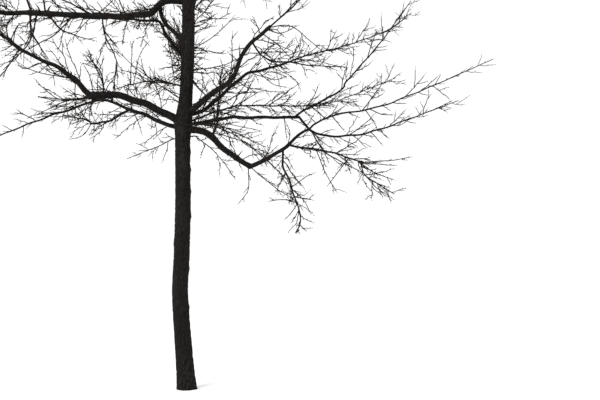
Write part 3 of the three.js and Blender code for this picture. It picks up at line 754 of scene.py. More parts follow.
class OwnSpace:
    """The space that one member's shoots keep to.

    A shoot stays nearer to its own stem than to any other, clear of every limb, inside the crown and
    above the clear trunk. Only spheres near the owner are kept, since none further off can matter.
    """

    def __init__(self, skeleton: Skeleton, owner: Member, reach: float) -> None:
        """Gathers the spheres of the owner, of the other stems and of the boughs and trunk.

        Args:
            skeleton: The whole tree's limbs.
            owner: The member whose space this is.
            reach: How far from the owner anything is tested.
        """
        self.crown = skeleton.crown
        self.own = skeleton.spheres_of(owner)
        low, high = self.own[0].min(0) - reach, self.own[0].max(0) + reach
        stems = [limb for limb in skeleton.stems if limb is not owner]
        limbs = [limb for limb in (skeleton.trunk, *skeleton.boughs) if limb is not owner]
        self.stems = self.near(stems, skeleton, low, high)
        self.limbs = self.near(limbs, skeleton, low, high)

    @staticmethod
    def near(members: list, skeleton: Skeleton, low: np.ndarray, high: np.ndarray) -> tuple:
        """The spheres of some members that lie inside a box."""
        found = [skeleton.spheres_of(member) for member in members]
        centres = np.vstack([centre for centre, _ in found])
        radii = np.concatenate([radius for _, radius in found])
        inside = ((centres > low) & (centres < high)).all(axis=1)
        return centres[inside], radii[inside]

    def holds(self, points: np.ndarray) -> np.ndarray:
        """Whether each point, of an array of any shape, lies in the space."""
        flat = points.reshape(-1, 3)
        inside = self.crown.holds(flat) & in_model_box(flat) & self.is_clear(flat)
        return inside.reshape(points.shape[:-1])

    def is_clear(self, points: np.ndarray) -> np.ndarray:
        """Whether each point is nearer to the owner than to other stems, and clear of every limb."""
        nearer = nearest_gap(points, *self.stems) - nearest_gap(points, *self.own)
        past_limbs = nearest_gap(points, *self.limbs) > self.crown.twig_to_limb
        return (nearer > self.crown.mass_to_mass) & past_limbs


class SharedSpace(OwnSpace):
    """The space of the extra shoots, which may grow in among a mass's own."""

    def is_clear(self, points: np.ndarray) -> np.ndarray:
        """Whether each point is clear of every limb and of every other stem."""
        gaps = [nearest_gap(points, *others) for others in (self.stems, self.limbs)]
        return np.minimum(*gaps) > self.crown.twig_to_limb


# Shoots


@dataclass(frozen=True)
class ShootRule:
    """How the shoots of one order leave their parents.

    angle is from the parent, in degrees, root the diameter at the root, lift the rise at the tip as
    a share of the length, and lift_range how far that varies. share is the longest length as a share
    of the reach, shortest the shortest as a share of the longest, and tried the shares of a length
    that are tried in turn. points is how many points a line has, crook the size of its bends as a
    share of the length, and taper how much of the thickness is gone at the tip.
    """

    stream: Stream
    angle: tuple[float, float]
    root: float
    lift: float
    share: float
    shortest: float
    points: int
    crook: float
    taper: float
    tried: tuple[float, ...] = (1.0, 0.7, 0.45)
    lift_range: float = 0.0


@dataclass
class Shoots:
    """Shoots of one order as whole arrays.

    points is shoots by points by 3, radii is shoots by points, sides holds the vector that each
    shoot's sections turn from, sites the number that turns its children, and reaches the length
    that its children's lengths are shares of.
    """

    points: np.ndarray
    radii: np.ndarray
    sides: np.ndarray
    sites: np.ndarray
    reaches: np.ndarray

    @property
    def lengths(self) -> np.ndarray:
        """Each shoot's length along its points."""
        return np.linalg.norm(np.diff(self.points, axis=1), axis=2).sum(axis=1)

    def place(self, owners: np.ndarray, shares: np.ndarray) -> tuple[np.ndarray, ...]:
        """The points, tangents and radii at shares of the way along the owners' lines."""
        last = self.points.shape[1] - 2
        scaled = np.clip(shares, 0.0, 1.0) * (last + 1)
        low = np.minimum(scaled.astype(int), last)
        start, end = self.points[owners, low], self.points[owners, low + 1]
        points = start + (end - start) * (scaled - low)[:, None]
        return points, unit(end - start), self.radii[owners, low]

    @classmethod
    def joined(cls, groups: Sequence["Shoots"]) -> "Shoots":
        """Groups with the same number of points as one."""
        names = ("points", "radii", "sides", "sites", "reaches")
        return cls(*(np.concatenate([getattr(group, name) for group in groups]) for name in names))

    @classmethod
    def along(cls, member: Member, step: float, reach: float) -> "Shoots":
        """One shoot that runs along a member's own line, so that twigs can grow on it."""
        line = member.line
        distances = line.samples(step)
        return cls(line.point_at(distances)[None], np.asarray(member.radius_at(distances))[None],
                   line.side[None], np.zeros(1, dtype=int), np.array([reach]))


@dataclass(frozen=True)
class Straights:
    """Shoots before they bend, straight but for a lift: the rise at the tip over the length."""

    roots: np.ndarray
    directions: np.ndarray
    lengths: np.ndarray
    lifts: np.ndarray

    def chosen(self, picked: np.ndarray, lengths: np.ndarray) -> "Straights":
        """The picked shoots, at other lengths."""
        return Straights(self.roots[picked], self.directions[picked], lengths, self.lifts[picked])

    def points(self, parts: np.ndarray) -> np.ndarray:
        """The points at parts of the way, shoots by parts by 3.

        A point is the root, plus the direction times the length times the part, plus a rise of the
        lift times the length times the part squared.
        """
        run = (self.lengths[:, None] * parts)[..., None]
        rise = ((self.lifts * self.lengths)[:, None] * parts**2)[..., None]
        return self.roots[:, None] + self.directions[:, None] * run + UP * rise

    def fitted_lengths(self, space: OwnSpace, shares: Sequence[float]) -> np.ndarray:
        """Each length times the first of the shares at which the shoot stays in the space, or 0."""
        fitted = np.zeros(len(self.lengths))
        for share in shares:
            waiting = np.flatnonzero(fitted == 0)
            if waiting.size == 0:
                break
            tried = self.lengths[waiting] * share
            counts = np.maximum(2, np.ceil(tried / space.crown.sample_step)).astype(int)[:, None]
            parts = np.minimum(np.arange(1, counts.max() + 1), counts) / counts
            fits = space.holds(self.chosen(waiting, tried).points(parts)).all(axis=1)
            fitted[waiting[fits]] = tried[fits]
        return fitted


def crooked(straight: np.ndarray, sides: np.ndarray, lengths: np.ndarray, size: float,
            keys: tuple) -> np.ndarray:
    """Straight shoots with small bends: at each point the line steps aside by a repeatable draw.

    The steps add up along the shoot and are nothing at the root.

    Args:
        straight: Points, shoots by points by 3.
        sides: One vector a shoot.
        lengths: One length a shoot.
        size: The sum of the steps at their most, as a share of the length.
        keys: Keys that tell the shoots apart.
    Returns:
        Points in the same shape.
    """
    count = straight.shape[1] - 1
    drawn = seeded_draws(2 * count, Stream.CROOK, *keys).reshape(-1, count, 2) * 2 - 1
    steps = np.cumsum(drawn, axis=1) * (size * lengths / count)[:, None, None]
    tangents = unit(straight[:, -1] - straight[:, 0])
    first, second = square_pair(tangents, sides)
    aside = steps[..., :1] * first[:, None] + steps[..., 1:] * second[:, None]
    return np.concatenate([straight[:, :1], straight[:, 1:] + aside], axis=1)


SITE_DRAWS = 5


@dataclass(frozen=True)
class Sites:
    """Where shoots may grow on their parents, one row of each array a site.

    owners holds each site's parent, shares how far along it the site is, numbers what turns the
    shoot, reaches the longest that it may be, and drawn four repeatable numbers, for the angle, the
    turn, the length and the lift.
    """

    owners: np.ndarray
    shares: np.ndarray
    numbers: np.ndarray
    reaches: np.ndarray
    drawn: np.ndarray

    def chosen(self, picked: np.ndarray) -> "Sites":
        """The picked sites."""
        return Sites(self.owners[picked], self.shares[picked], self.numbers[picked],
                     self.reaches[picked], self.drawn[picked])


def sprout(parents: Shoots, sites: Sites, rule: ShootRule, space: OwnSpace, keys: tuple) -> Shoots:
    """Grows one shoot at each site, where one fits.

    The shoot leaves its parent at the rule's angle, turned round it by the site's number times the
    golden angle and a little more, and its length is a share of the reach.

    Args:
        parents: What the shoots grow on.
        sites: Where they may grow.
        rule: The order's rule.
        space: The space that the shoots stay in.
        keys: Keys that tell the sites apart.
    Returns:
        The shoots that fit.
    """
    turn_jitter = 50.0
    parent_share = 0.9
    thinnest_share = 0.75
    steep_from = 0.9
    for_angle, for_turn, for_length, for_lift = sites.drawn.T
    roots, tangents, thickest = parents.place(sites.owners, sites.shares)
    first, second = square_pair(tangents, parents.sides[sites.owners])
    angle = np.radians(between(rule.angle, for_angle))[:, None]
    turn = np.radians(sites.numbers * GOLDEN_ANGLE + turn_jitter * for_turn)[:, None]
    round_it = first * np.cos(turn) + second * np.sin(turn)
    directions = tangents * np.cos(angle) + round_it * np.sin(angle)
    longest = sites.reaches * rule.share
    lifts = rule.lift + rule.lift_range * (for_lift - 0.5)
    straights = Straights(roots, directions, longest * between((rule.shortest, 1.0), for_length), lifts)
    fitted = straights.fitted_lengths(space, rule.tried)
    kept = np.flatnonzero(fitted > 0)
    straights = straights.chosen(kept, fitted[kept])
    steep = np.abs(straights.directions[:, 2:]) >= steep_from
    sides = unit(np.cross(straights.directions, np.where(steep, ALONG_X, UP)))
    parts = np.linspace(0.0, 1.0, rule.points)[None]
    kept_keys = tuple(np.broadcast_to(key, fitted.shape)[kept] for key in keys)
    points = crooked(straights.points(parts), sides, straights.lengths, rule.crook, kept_keys)
    grown_share = straights.lengths / np.maximum(longest[kept], TINY)
    thickness = rule.root / 2 * between((thinnest_share, 1.0), grown_share)
    thickness = np.minimum(thickness, parent_share * thickest[kept])
    radii = thickness[:, None] * (1 - rule.taper * parts)
    return Shoots(points, radii, sides, sites.numbers[kept], sites.reaches[kept])


@dataclass(frozen=True)
class Spread:
    """How sites are spread along their parents: one each spacing, jittered, with a bare tip."""

    spacing: float
    jitter: tuple[float, float] = (0.45, 0.75)
    tip_share: float = 0.3

    def sites(self, parents: Shoots, *keys: int) -> tuple[Sites, tuple]:
        """The sites on all parents, with the parents' own reaches.

        Args:
            parents: What the sites are on.
            keys: Keys of the draws, before the parent's site and the child's number.
        Returns:
            The sites, and the keys that tell them apart.
        """
        counts = np.floor(parents.lengths / self.spacing).astype(int)
        owners = np.repeat(np.arange(len(counts)), counts)
        child = np.arange(len(owners)) - np.repeat(np.cumsum(counts) - counts, counts)
        keys = (*keys, parents.sites[owners], child)
        drawn = seeded_draws(SITE_DRAWS, *keys)
        shares = (child + between(self.jitter, drawn[:, 0])) / (counts[owners] + self.tip_share)
        numbers = child + parents.sites[owners]
        return Sites(owners, shares, numbers, parents.reaches[owners], drawn[:, 1:]), keys


LEADING_RULE = ShootRule(Stream.FIRST, angle=(26, 46), root=0.014, lift=0.06, share=1.0,
                         shortest=0.8, points=10, crook=0.2, taper=0.35)
PLAIN_RULE = ShootRule(Stream.FIRST, angle=(32, 60), root=0.012, lift=0.1, share=0.65,
                       shortest=0.45, points=10, crook=0.2, taper=0.3)
SECOND_RULE = ShootRule(Stream.SECOND, angle=(32, 58), root=0.0115, lift=0.08, share=0.42,
                        shortest=0.4, points=8, crook=0.22, taper=0.25)
FILL_RULE = ShootRule(Stream.FILL, angle=(15, 55), root=0.011, lift=0.04, share=0.9, shortest=0.12,
                      points=8, crook=0.3, taper=0.22, lift_range=0.5)
SPRAY_RULE = ShootRule(Stream.SPRAY, angle=(15, 50), root=0.010, lift=0.03, share=1.0, shortest=0.2,
                       points=6, crook=0.3, taper=0.2, tried=(1.0, 0.6), lift_range=0.4)
BRANCHLET_TWIG_RULE = ShootRule(Stream.FILL, angle=(18, 50), root=0.010, lift=0.04, share=1.0,
                                shortest=0.2, points=8, crook=0.25, taper=0.25, lift_range=0.4)
LIMB_SHOOT_RULE = ShootRule(Stream.LIMB_SHOOT, angle=(20, 70), root=0.013, lift=0.02, share=1.0,
                            shortest=0.18, points=12, crook=0.25, taper=0.3, lift_range=0.7)
SPUR_RULE = ShootRule(Stream.SPUR, angle=(40, 80), root=0.008, lift=0.0, share=1.0, shortest=0.3,
                      points=2, crook=0.1, taper=0.1, tried=(1.0,))


class TwigMass:
    """The shoots of one mass: the source's two orders, and the finer ones that grow on from them.

    reach_along holds the shares of the reach that shoots have at a parent's foot and at its tip.
    """

    least_spacing = 0.07
    spacing_share = 0.22
    bare_foot = 0.6
    site_jitter = (0.7, 1.0)
    reach_along = (1.0, 0.6)
    leading_each = 3
    stem_step = Crown.sample_step
    second_spread = Spread(0.26)
    fill_spread = Spread(0.075)
    spray_spread = Spread(0.11)
    spray_reach = 0.24
    spur_spread = Spread(0.055)
    spur_reach = 0.022

    def __init__(self, stem: Member, space: OwnSpace) -> None:
        """Keeps the stem and the space that its shoots keep to, and makes a shoot of the stem."""
        self.stem = stem
        self.space = space
        self.index = stem.index
        unseen = stem.name.startswith(UNSEEN_NAMES)
        self.fullness = UNSEEN_FULLNESS if unseen else FULLNESS.get(stem.name, PLAIN_FULLNESS)
        self.reach = stem.row.reach * MM
        self.whole = Shoots.along(stem, self.stem_step, self.reach)
        self.orders: list[Shoots] = []

    def first_order(self) -> Shoots:
        """The source's first order: sites a fixed spacing apart, shorter towards the tip.

        Every third twig is a leading one, longer and thicker and nearer to the stem's direction.
        """
        length = self.stem.line.length
        spacing = self.least_spacing + self.spacing_share * self.reach
        numbers = np.arange(max(0, math.floor(length / spacing - self.bare_foot)))
        drawn = seeded_draws(SITE_DRAWS, self.index, Stream.FIRST, numbers)
        shares = spacing * (numbers + between(self.site_jitter, drawn[:, 0])) / length
        reaches = self.reach * between(self.reach_along, shares)
        sites = Sites(np.zeros_like(numbers), shares, numbers, reaches, drawn[:, 1:])
        leading = numbers % self.leading_each == 0
        grown = []
        for rule, picked in ((LEADING_RULE, leading), (PLAIN_RULE, ~leading)):
            keys = (self.index, Stream.FIRST, numbers[picked])
            grown.append(sprout(self.whole, sites.chosen(picked), rule, self.space, keys))
        return Shoots.joined(grown)

    def second_order(self, first: Shoots) -> Shoots:
        """The source's second order, on the first."""
        sites, keys = self.second_spread.sites(first, self.index, Stream.SECOND)
        return sprout(first, sites, SECOND_RULE, self.space, keys)

    def finer(self, parents: Shoots, spread: Spread, rule: ShootRule, reach: float,
              level: int = 0) -> Shoots:
        """One finer order on any parents.

        Args:
            parents: What it grows on.
            spread: How its sites are spread.
            rule: How its shoots leave.
            reach: Their longest length.
            level: A number that tells this call's draws from other calls'.
        Returns:
            The shoots, numbered in running order.
        """
        numbered = replace(parents, sites=np.arange(len(parents.sites)))
        spread = replace(spread, spacing=spread.spacing / self.fullness)
        sites, keys = spread.sites(numbered, self.index, rule.stream, level)
        sites = replace(sites, reaches=reach * between(self.reach_along, sites.shares))
        return sprout(numbered, sites, rule, self.space, keys)

    def grow(self) -> None:
        """Grows every order."""
        first = self.first_order()
        fill = self.finer(self.whole, self.fill_spread, FILL_RULE, self.reach)
        self.finish(self.whole, [first, self.second_order(first), fill])

    def finish(self, stem: Shoots, grown: list[Shoots]) -> None:
        """Adds sprays to what has grown, and spurs to that and to the stem."""
        sprays = [self.finer(parents, self.spray_spread, SPRAY_RULE, self.spray_reach, level)
                  for level, parents in enumerate(grown)]
        spurs = [self.finer(parents, self.spur_spread, SPUR_RULE, self.spur_reach, level)
                 for level, parents in enumerate([stem, *grown, *sprays])]
        self.orders = [*grown, *sprays, *spurs]


class BranchletTwigs(TwigMass):
    """A branchlet's own tube, its twigs and the sprays and spurs on them."""

    fill_spread = Spread(0.15)
    stem_step = 0.03

    def grow(self) -> None:
        """Grows every order, and adds the branchlet itself."""
        twigs = self.finer(self.whole, self.fill_spread, BRANCHLET_TWIG_RULE, self.reach)
        self.finish(self.whole, [twigs])
        self.orders.append(self.whole)


class LimbShoots(TwigMass):
    """Long shoots straight on a bough, with their own finer ones."""

    shoot_spread = Spread(0.11)
    shoot_reach = 0.8
    spray_spread = Spread(0.15)

    def grow(self) -> None:
        """Grows every order."""
        shoots = self.finer(self.whole, self.shoot_spread, LIMB_SHOOT_RULE, self.shoot_reach)
        self.finish(self.whole, [shoots])


class TrunkShoots(LimbShoots):
    """Long shoots straight on the trunk, closer and longer above the photograph's edge."""

    lowest = 3.05
    upper_from = 4.6
    upper_spread = Spread(0.055)
    upper_reach = 1.2

    def grow(self) -> None:
        """Grows every order."""
        low = self.between_heights(self.lowest, self.upper_from)
        high = self.between_heights(self.upper_from, self.stem.form.top)
        self.finish(low, [
            self.finer(low, self.shoot_spread, LIMB_SHOOT_RULE, self.shoot_reach),
            self.finer(high, self.upper_spread, LIMB_SHOOT_RULE, self.upper_reach, level=1),
        ])

    def between_heights(self, low: float, high: float) -> Shoots:
        """The part of the trunk between two heights."""
        points = self.whole.points
        inside = (points[0, :, 2] > low) & (points[0, :, 2] < high)
        return replace(self.whole, points=points[:, inside], radii=self.whole.radii[:, inside])


# Meshes


def add_object(name: str, data: Any) -> bpy.types.Object:
    """Makes an object of a mesh, a lamp or a camera in the scene."""
    made = bpy.data.objects.new(name, data)
    bpy.context.scene.collection.objects.link(made)
    return made


class MeshParts:
    """Vertices and faces gathered from several shapes, which become one mesh."""

    def __init__(self) -> None:
        """Starts with nothing."""
        self.vertices: list[np.ndarray] = []
        self.faces: list[np.ndarray] = []
        self.tones: list[np.ndarray] = []
        self.values: dict[str, list[np.ndarray]] = {}
        self.count = 0

    def add(self, vertices: np.ndarray, faces: Iterable[np.ndarray],
            tones: Iterable[np.ndarray] | None = None, **values: np.ndarray) -> None:
        """Adds one shape.

        Args:
            vertices: Its points, one row each.
            faces: Arrays of faces, each array with one number of corners.
            tones: The material number of each face, in arrays like faces, or None for 0.
            values: Named values at its points, for the material.
        """
        faces = list(faces)
        if tones is None:
            tones = [np.zeros(len(face), dtype=int) for face in faces]
        self.vertices.append(vertices)
        self.faces.extend(face + self.count for face in faces)
        self.tones.extend(tones)
        for name, value in values.items():
            self.values.setdefault(name, []).append(value)
        self.count += len(vertices)

    def triangles(self) -> int:
        """How many triangles the faces make."""
        return sum(len(face) * (face.shape[1] - 2) for face in self.faces)

    def to_object(self, name: str, materials: Sequence[bpy.types.Material]) -> bpy.types.Object:
        """Makes one smooth-shaded object at the origin, with its place in its mesh.

        Args:
            name: The object's name.
            materials: What the faces' material numbers stand for.
        Returns:
            The new object, in the scene.
        """
        mesh = bpy.data.meshes.new(name)
        vertices = np.vstack(self.vertices)
        mesh.vertices.add(len(vertices))
        mesh.vertices.foreach_set("co", vertices.astype(np.float32).ravel())
        corners = np.concatenate([face.ravel() for face in self.faces])
        sizes = np.concatenate([np.full(len(face), face.shape[1]) for face in self.faces])
        mesh.loops.add(len(corners))
        mesh.loops.foreach_set("vertex_index", corners.astype(np.int32))
        mesh.polygons.add(len(sizes))
        mesh.polygons.foreach_set("loop_start", (np.cumsum(sizes) - sizes).astype(np.int32))
        mesh.polygons.foreach_set("material_index", np.concatenate(self.tones).astype(np.int32))
        mesh.polygons.foreach_set("use_smooth", np.ones(len(sizes), dtype=bool))
        for label, parts in self.values.items():
            data = np.concatenate(parts).astype(np.float32)
            kind, key = ("FLOAT", "value") if data.ndim == 1 else ("FLOAT_VECTOR", "vector")
            mesh.attributes.new(label, kind, "POINT").data.foreach_set(key, data.ravel())
        mesh.update(calc_edges=True)
        for material in materials:
            mesh.materials.append(material)
        return add_object(name, mesh)


def tube_faces(rings: int, sides: int) -> list[np.ndarray]:
    """The faces of one tube whose rings are numbered in turn and whose tip point comes last.

    Args:
        rings: How many rings.
        sides: How many points to a ring.
    Returns:
        The quads between rings, the flat foot, and the triangles round the tip.
    """
    ring, side = np.meshgrid(np.arange(rings - 1), np.arange(sides), indexing="ij")
    here = (ring * sides + side).ravel()
    beside = (ring * sides + (side + 1) % sides).ravel()
    quads = np.stack([here, beside, beside + sides, here + sides], axis=1)
    last = (rings - 1) * sides + np.arange(sides)
    after = (rings - 1) * sides + (np.arange(sides) + 1) % sides
    tips = np.stack([last, after, np.full(sides, rings * sides)], axis=1)
    return [quads, np.arange(sides)[None, ::-1], tips]


def shoot_tubes(shoots: Shoots, sides: int) -> tuple[np.ndarray, list[np.ndarray]]:
    """A tube round every shoot at once, closed by a flat foot and a point at the tip.

    A ring's point is the line's point plus the radius times the cosine of the turn along one
    direction square to the line and its sine along the other.

    Args:
        shoots: The lines and radii.
        sides: How many points to a ring.
    Returns:
        The vertices, and arrays of faces.
    """
    count, length = shoots.points.shape[:2]
    tangents = unit(np.gradient(shoots.points, axis=1))
    first, second = square_pair(tangents, shoots.sides[:, None])
    turn = FULL_TURN * np.arange(sides) / sides
    across = first[:, :-1, None] * np.cos(turn)[:, None]
    across = across + second[:, :-1, None] * np.sin(turn)[:, None]
    rings = shoots.points[:, :-1, None] + across * shoots.radii[:, :-1, None, None]
    vertices = np.concatenate([rings.reshape(count, -1, 3), shoots.points[:, -1:]], axis=1)
    offsets = (np.arange(count) * vertices.shape[1])[:, None, None]
    faces = [(face[None] + offsets).reshape(-1, face.shape[1])
             for face in tube_faces(length - 1, sides)]
    return vertices.reshape(-1, 3), faces


# Bark


@dataclass(frozen=True)
class BarkRelief:
    """Furrowed bark as heights from 0 to 1 over a round surface.

    The surface is a grid of cells, so many round and each so long. Each cell holds the centre of one
    plate, moved from the cell's middle by a repeatable draw. The height is 0 where the two nearest
    centres are as far as each other, in the furrow between two plates, and climbs a smooth step to
    1 as the difference between the two distances grows. The grid sways sideways and ripples
    lengthwise by two sines, whose sizes and lengths are in cells.
    """

    cells_round: int
    cell_length: float
    seed: int
    jitter: float = 0.8
    furrow: float = 0.5
    sway: float = 0.7
    sway_length: float = 4.3
    sway_lobes: int = 2
    ripple: float = 0.4
    ripple_rate: float = 1.7
    ripple_lobes: int = 3

    def height(self, turn: np.ndarray, along: np.ndarray) -> np.ndarray:
        """The height at turns round the limb and distances along it."""
        sway_turn = FULL_TURN * along / (self.sway_length * self.cell_length) + self.sway_lobes * turn
        across = self.cells_round * turn / FULL_TURN + self.sway * np.sin(sway_turn)
        ripple_turn = self.ripple_lobes * turn + self.ripple_rate * along / self.cell_length
        lengthwise = along / self.cell_length + self.ripple * np.sin(ripple_turn)
        column, row = np.floor(across), np.floor(lengthwise)
        nearest = np.full(across.shape, np.inf)
        second = np.full(across.shape, np.inf)
        row_offset = 4096
        middle = 0.5
        for step_across in (-1, 0, 1):
            for step_along in (-1, 0, 1):
                cell, place = column + step_across, row + step_along
                drawn = seeded_draws(2, self.seed, cell % self.cells_round, place + row_offset)
                moved = self.jitter * (drawn - middle)
                gap = np.hypot(across - cell - middle - moved[..., 0],
                               lengthwise - place - middle - moved[..., 1])
                second = np.minimum(second, np.maximum(nearest, gap))
                nearest = np.minimum(nearest, gap)
        edge = np.clip((second - nearest) / self.furrow, 0.0, 1.0)
        return edge * edge * (3 - 2 * edge)


@dataclass(frozen=True)
class Swelling:
    """A round rise on the trunk, at a bearing in degrees and a height."""

    bearing: float
    centre: float
    size: float
    growth: float
    hollow: float = 0.0
    hollow_narrowness: float = 2.2

    def rise(self, turn: np.ndarray, height: np.ndarray, radius: np.ndarray) -> np.ndarray:
        """A bell round the centre, less a narrower bell for the hollow of an old scar."""
        round_it = (turn - math.radians(self.bearing) + math.pi) % FULL_TURN - math.pi
        away = np.hypot(round_it * radius, height - self.centre) / self.size
        hollow = self.hollow * np.exp(-(self.hollow_narrowness * away) ** 2)
        return self.growth * np.exp(-away**2) - hollow


@dataclass(frozen=True)
class BarkCoat:
    """How finely a member's surface is made and how deep its bark is cut, with two reliefs."""

    sides: int
    ring_step: float
    relief: BarkRelief
    fine: BarkRelief
    depth: float
    fine_share: float = 0.3
    mean_height: float = 0.65

    def height(self, turn: np.ndarray, along: np.ndarray) -> np.ndarray:
        """The plates' height with the finer cracks' mixed in."""
        coarse = self.relief.height(turn, along)
        return coarse * (1 - self.fine_share + self.fine_share * self.fine.height(turn, along))


TRUNK_COAT = BarkCoat(sides=140, ring_step=0.0166, depth=0.0065,
                      relief=BarkRelief(cells_round=27, cell_length=0.075, seed=101),
                      fine=BarkRelief(cells_round=54, cell_length=0.03, seed=102))
HIGH_TRUNK_RELIEF = BarkRelief(cells_round=15, cell_length=0.06, seed=103)
BOUGH_COAT = BarkCoat(sides=28, ring_step=0.010, depth=0.0028,
                      relief=BarkRelief(cells_round=11, cell_length=0.055, seed=104),
                      fine=BarkRelief(cells_round=21, cell_length=0.025, seed=105))
STEM_COAT = BarkCoat(sides=10, ring_step=0.018, depth=0.0011,
                     relief=BarkRelief(cells_round=5, cell_length=0.05, seed=106),
                     fine=BarkRelief(cells_round=9, cell_length=0.03, seed=107))


def bark_tube(rings: np.ndarray, tip: np.ndarray, relief: np.ndarray, straight: np.ndarray,
              straight_tip: np.ndarray) -> MeshParts:
    """One tube of bark, with the relief and the straightened place as values for the material.

    Args:
        rings: Points, rings by points by 3.
        tip: The point that closes the tube.
        relief: The relief's height at each point, rings by points.
        straight: Where each point would be on a straight, upright limb.
        straight_tip: Where the tip would be.
    Returns:
        The mesh's parts.
    """
    parts = MeshParts()
    parts.add(np.vstack([rings.reshape(-1, 3), tip]), tube_faces(*relief.shape),
              relief=np.append(relief.ravel(), 1.0),
              straight=np.vstack([straight.reshape(-1, 3), straight_tip]))
    return parts


class TrunkBark:
    """The trunk's surface, from its flat cut to its top.

    relief_fades holds heights and the share of the relief left there, smoother_from the heights
    between which the bark turns to the higher trunk's, and scars heights and bearings in degrees.
    """

    ring_crowding = 1.3
    tip_rise = 0.002
    relief_fades = ((0.0, 1.0), (2.6, 0.85), (4.5, 0.5), (6.5, 0.25), (9.3, 0.06))
    smoother_from = (3.2, 5.2)
    scars = ((0.55, 130), (0.9, 8), (1.15, 250), (1.33, -12), (1.63, 190), (1.93, 5), (2.2, -18),
             (2.3, 150), (2.45, 14), (2.65, -4))
    scar_size = 0.034
    scar_growth = 0.013
    scar_hollow = 0.005
    collar_share = 1.25
    collar_growth = 0.1

    def __init__(self, skeleton: Skeleton) -> None:
        """Keeps the tree's limbs, which the trunk swells towards."""
        self.skeleton = skeleton
        self.form = skeleton.trunk.form

    def swellings(self) -> list[Swelling]:
        """A collar under each limb's foot, and the scars of old low limbs."""
        found = []
        for limb in self.skeleton.children_of("trunk"):
            radius = float(limb.radius_at(0.0))
            found.append(Swelling(limb.row.bearing, limb.row.at * MM, radius * self.collar_share,
                                  radius * self.collar_growth))
        for height, bearing in self.scars:
            found.append(Swelling(bearing, height, self.scar_size, self.scar_growth, self.scar_hollow))
        return found

    def build(self) -> MeshParts:
        """The surface, whose rings have the form's radius with the relief and the swellings on it."""
        top, sides = self.form.top, TRUNK_COAT.sides
        count = round(top / TRUNK_COAT.ring_step)
        share = np.linspace(0.0, 1.0, count)[:, None] ** self.ring_crowding
        height = top * share + np.zeros(sides)
        turn = np.zeros((count, 1)) + FULL_TURN * np.arange(sides) / sides
        smooth = np.clip((height - self.smoother_from[0]) / np.ptp(self.smoother_from), 0.0, 1.0)
        low, high = TRUNK_COAT.height(turn, height), HIGH_TRUNK_RELIEF.height(turn, height)
        relief = low + (high - low) * smooth
        fade = np.interp(height, *np.array(self.relief_fades).T)
        radius = self.form.radius(height, turn)
        radius = radius + TRUNK_COAT.depth * fade * (relief - TRUNK_COAT.mean_height)
        for swelling in self.swellings():
            radius = radius + swelling.rise(turn, height, radius)
        line = self.skeleton.trunk.line
        lean = [np.interp(height, line.points[:, 2], line.points[:, axis]) for axis in (0, 1)]
        across = np.stack([radius * np.cos(turn), radius * np.sin(turn)], axis=-1)
        rings = np.stack([lean[0] + across[..., 0], lean[1] + across[..., 1], height], axis=-1)
        tip = np.array([lean[0][-1, 0], lean[1][-1, 0], top + self.tip_rise])
        straight = np.concatenate([across, height[..., None]], axis=-1)
        return bark_tube(rings, tip, relief, straight, UP * top)


class LimbBark:
    """The surface of a bough or a stem: a tube along its line with the bark's relief.

    sink is how deep a limb starts inside the one that it goes on from, ease how far to either side a
    ring's direction is averaged, and dome_turns places the rings of the domed end. A node is the
    small swelling where a child leaves.
    """

    sink = 0.012
    ease = 0.012
    dome_turns = np.radians([24.0, 46.0, 66.0, 80.0])
    node_growth = 0.1
    node_share = 1.4
    node_reach = 0.005
    pattern_step = 1.7
    fewest_rings = 8
    least_share = 0.6

    def __init__(self, limb: Limb, coat: BarkCoat, children: list[Limb]) -> None:
        """Keeps the limb, its coat and what leaves it.

        Args:
            limb: The bough or stem.
            coat: How its surface is made.
            children: The limbs that leave its side, where it thickens a little.
        """
        self.limb = limb
        self.coat = coat
        self.children = children

    def profile(self) -> tuple[np.ndarray, np.ndarray]:
        """The rings' distances and radii: sunk into the parent, tapering, and domed at the end."""
        line = self.limb.line
        count = max(self.fewest_rings, math.ceil(line.length / self.coat.ring_step))
        body = np.linspace(-self.sink if self.limb.continues else 0.0, line.length, count)
        radii = np.asarray(self.limb.radius_at(body))
        for child in self.children:
            width = self.node_share * float(child.radius_at(0.0)) + self.node_reach
            away = (body - child.foot_distance) / width
            radii = radii * (1 + self.node_growth * np.exp(-away**2))
        dome = line.length + radii[-1] * np.sin(self.dome_turns)
        dome_radii = radii[-1] * np.cos(self.dome_turns)
        return np.concatenate([body, dome]), np.concatenate([radii, dome_radii])

    def build(self) -> MeshParts:
        """The surface: a ring's point is the line's point plus the radius and relief outwards."""
        line, coat = self.limb.line, self.coat
        distances, radii = self.profile()
        tangents = line.eased_tangent_at(distances, self.ease)
        first, second = square_pair(tangents, np.broadcast_to(line.side, tangents.shape))
        one_ring = FULL_TURN * np.arange(coat.sides) / coat.sides
        turn = np.broadcast_to(one_ring, (len(distances), coat.sides))
        cosine, sine = np.cos(turn), np.sin(turn)
        along = distances[:, None] + self.pattern_step * (1 + self.limb.index) + np.zeros(coat.sides)
        relief = coat.height(turn, along)
        widest = self.limb.diameters[0] / 2
        cut = coat.depth * radii[:, None] / widest * (relief - coat.mean_height)
        size = np.maximum(radii[:, None] + cut, radii[:, None] * self.least_share)
        across = first[:, None] * cosine[..., None] + second[:, None] * sine[..., None]
        rings = line.point_at(distances)[:, None] + across * size[..., None]
        tip = line.point_at(line.length + radii[-1 - len(self.dome_turns)])
        straight = np.stack([size * cosine, size * sine, along], axis=-1)
        return bark_tube(rings, tip, relief, straight, straight[-1, -1])


# Finishes


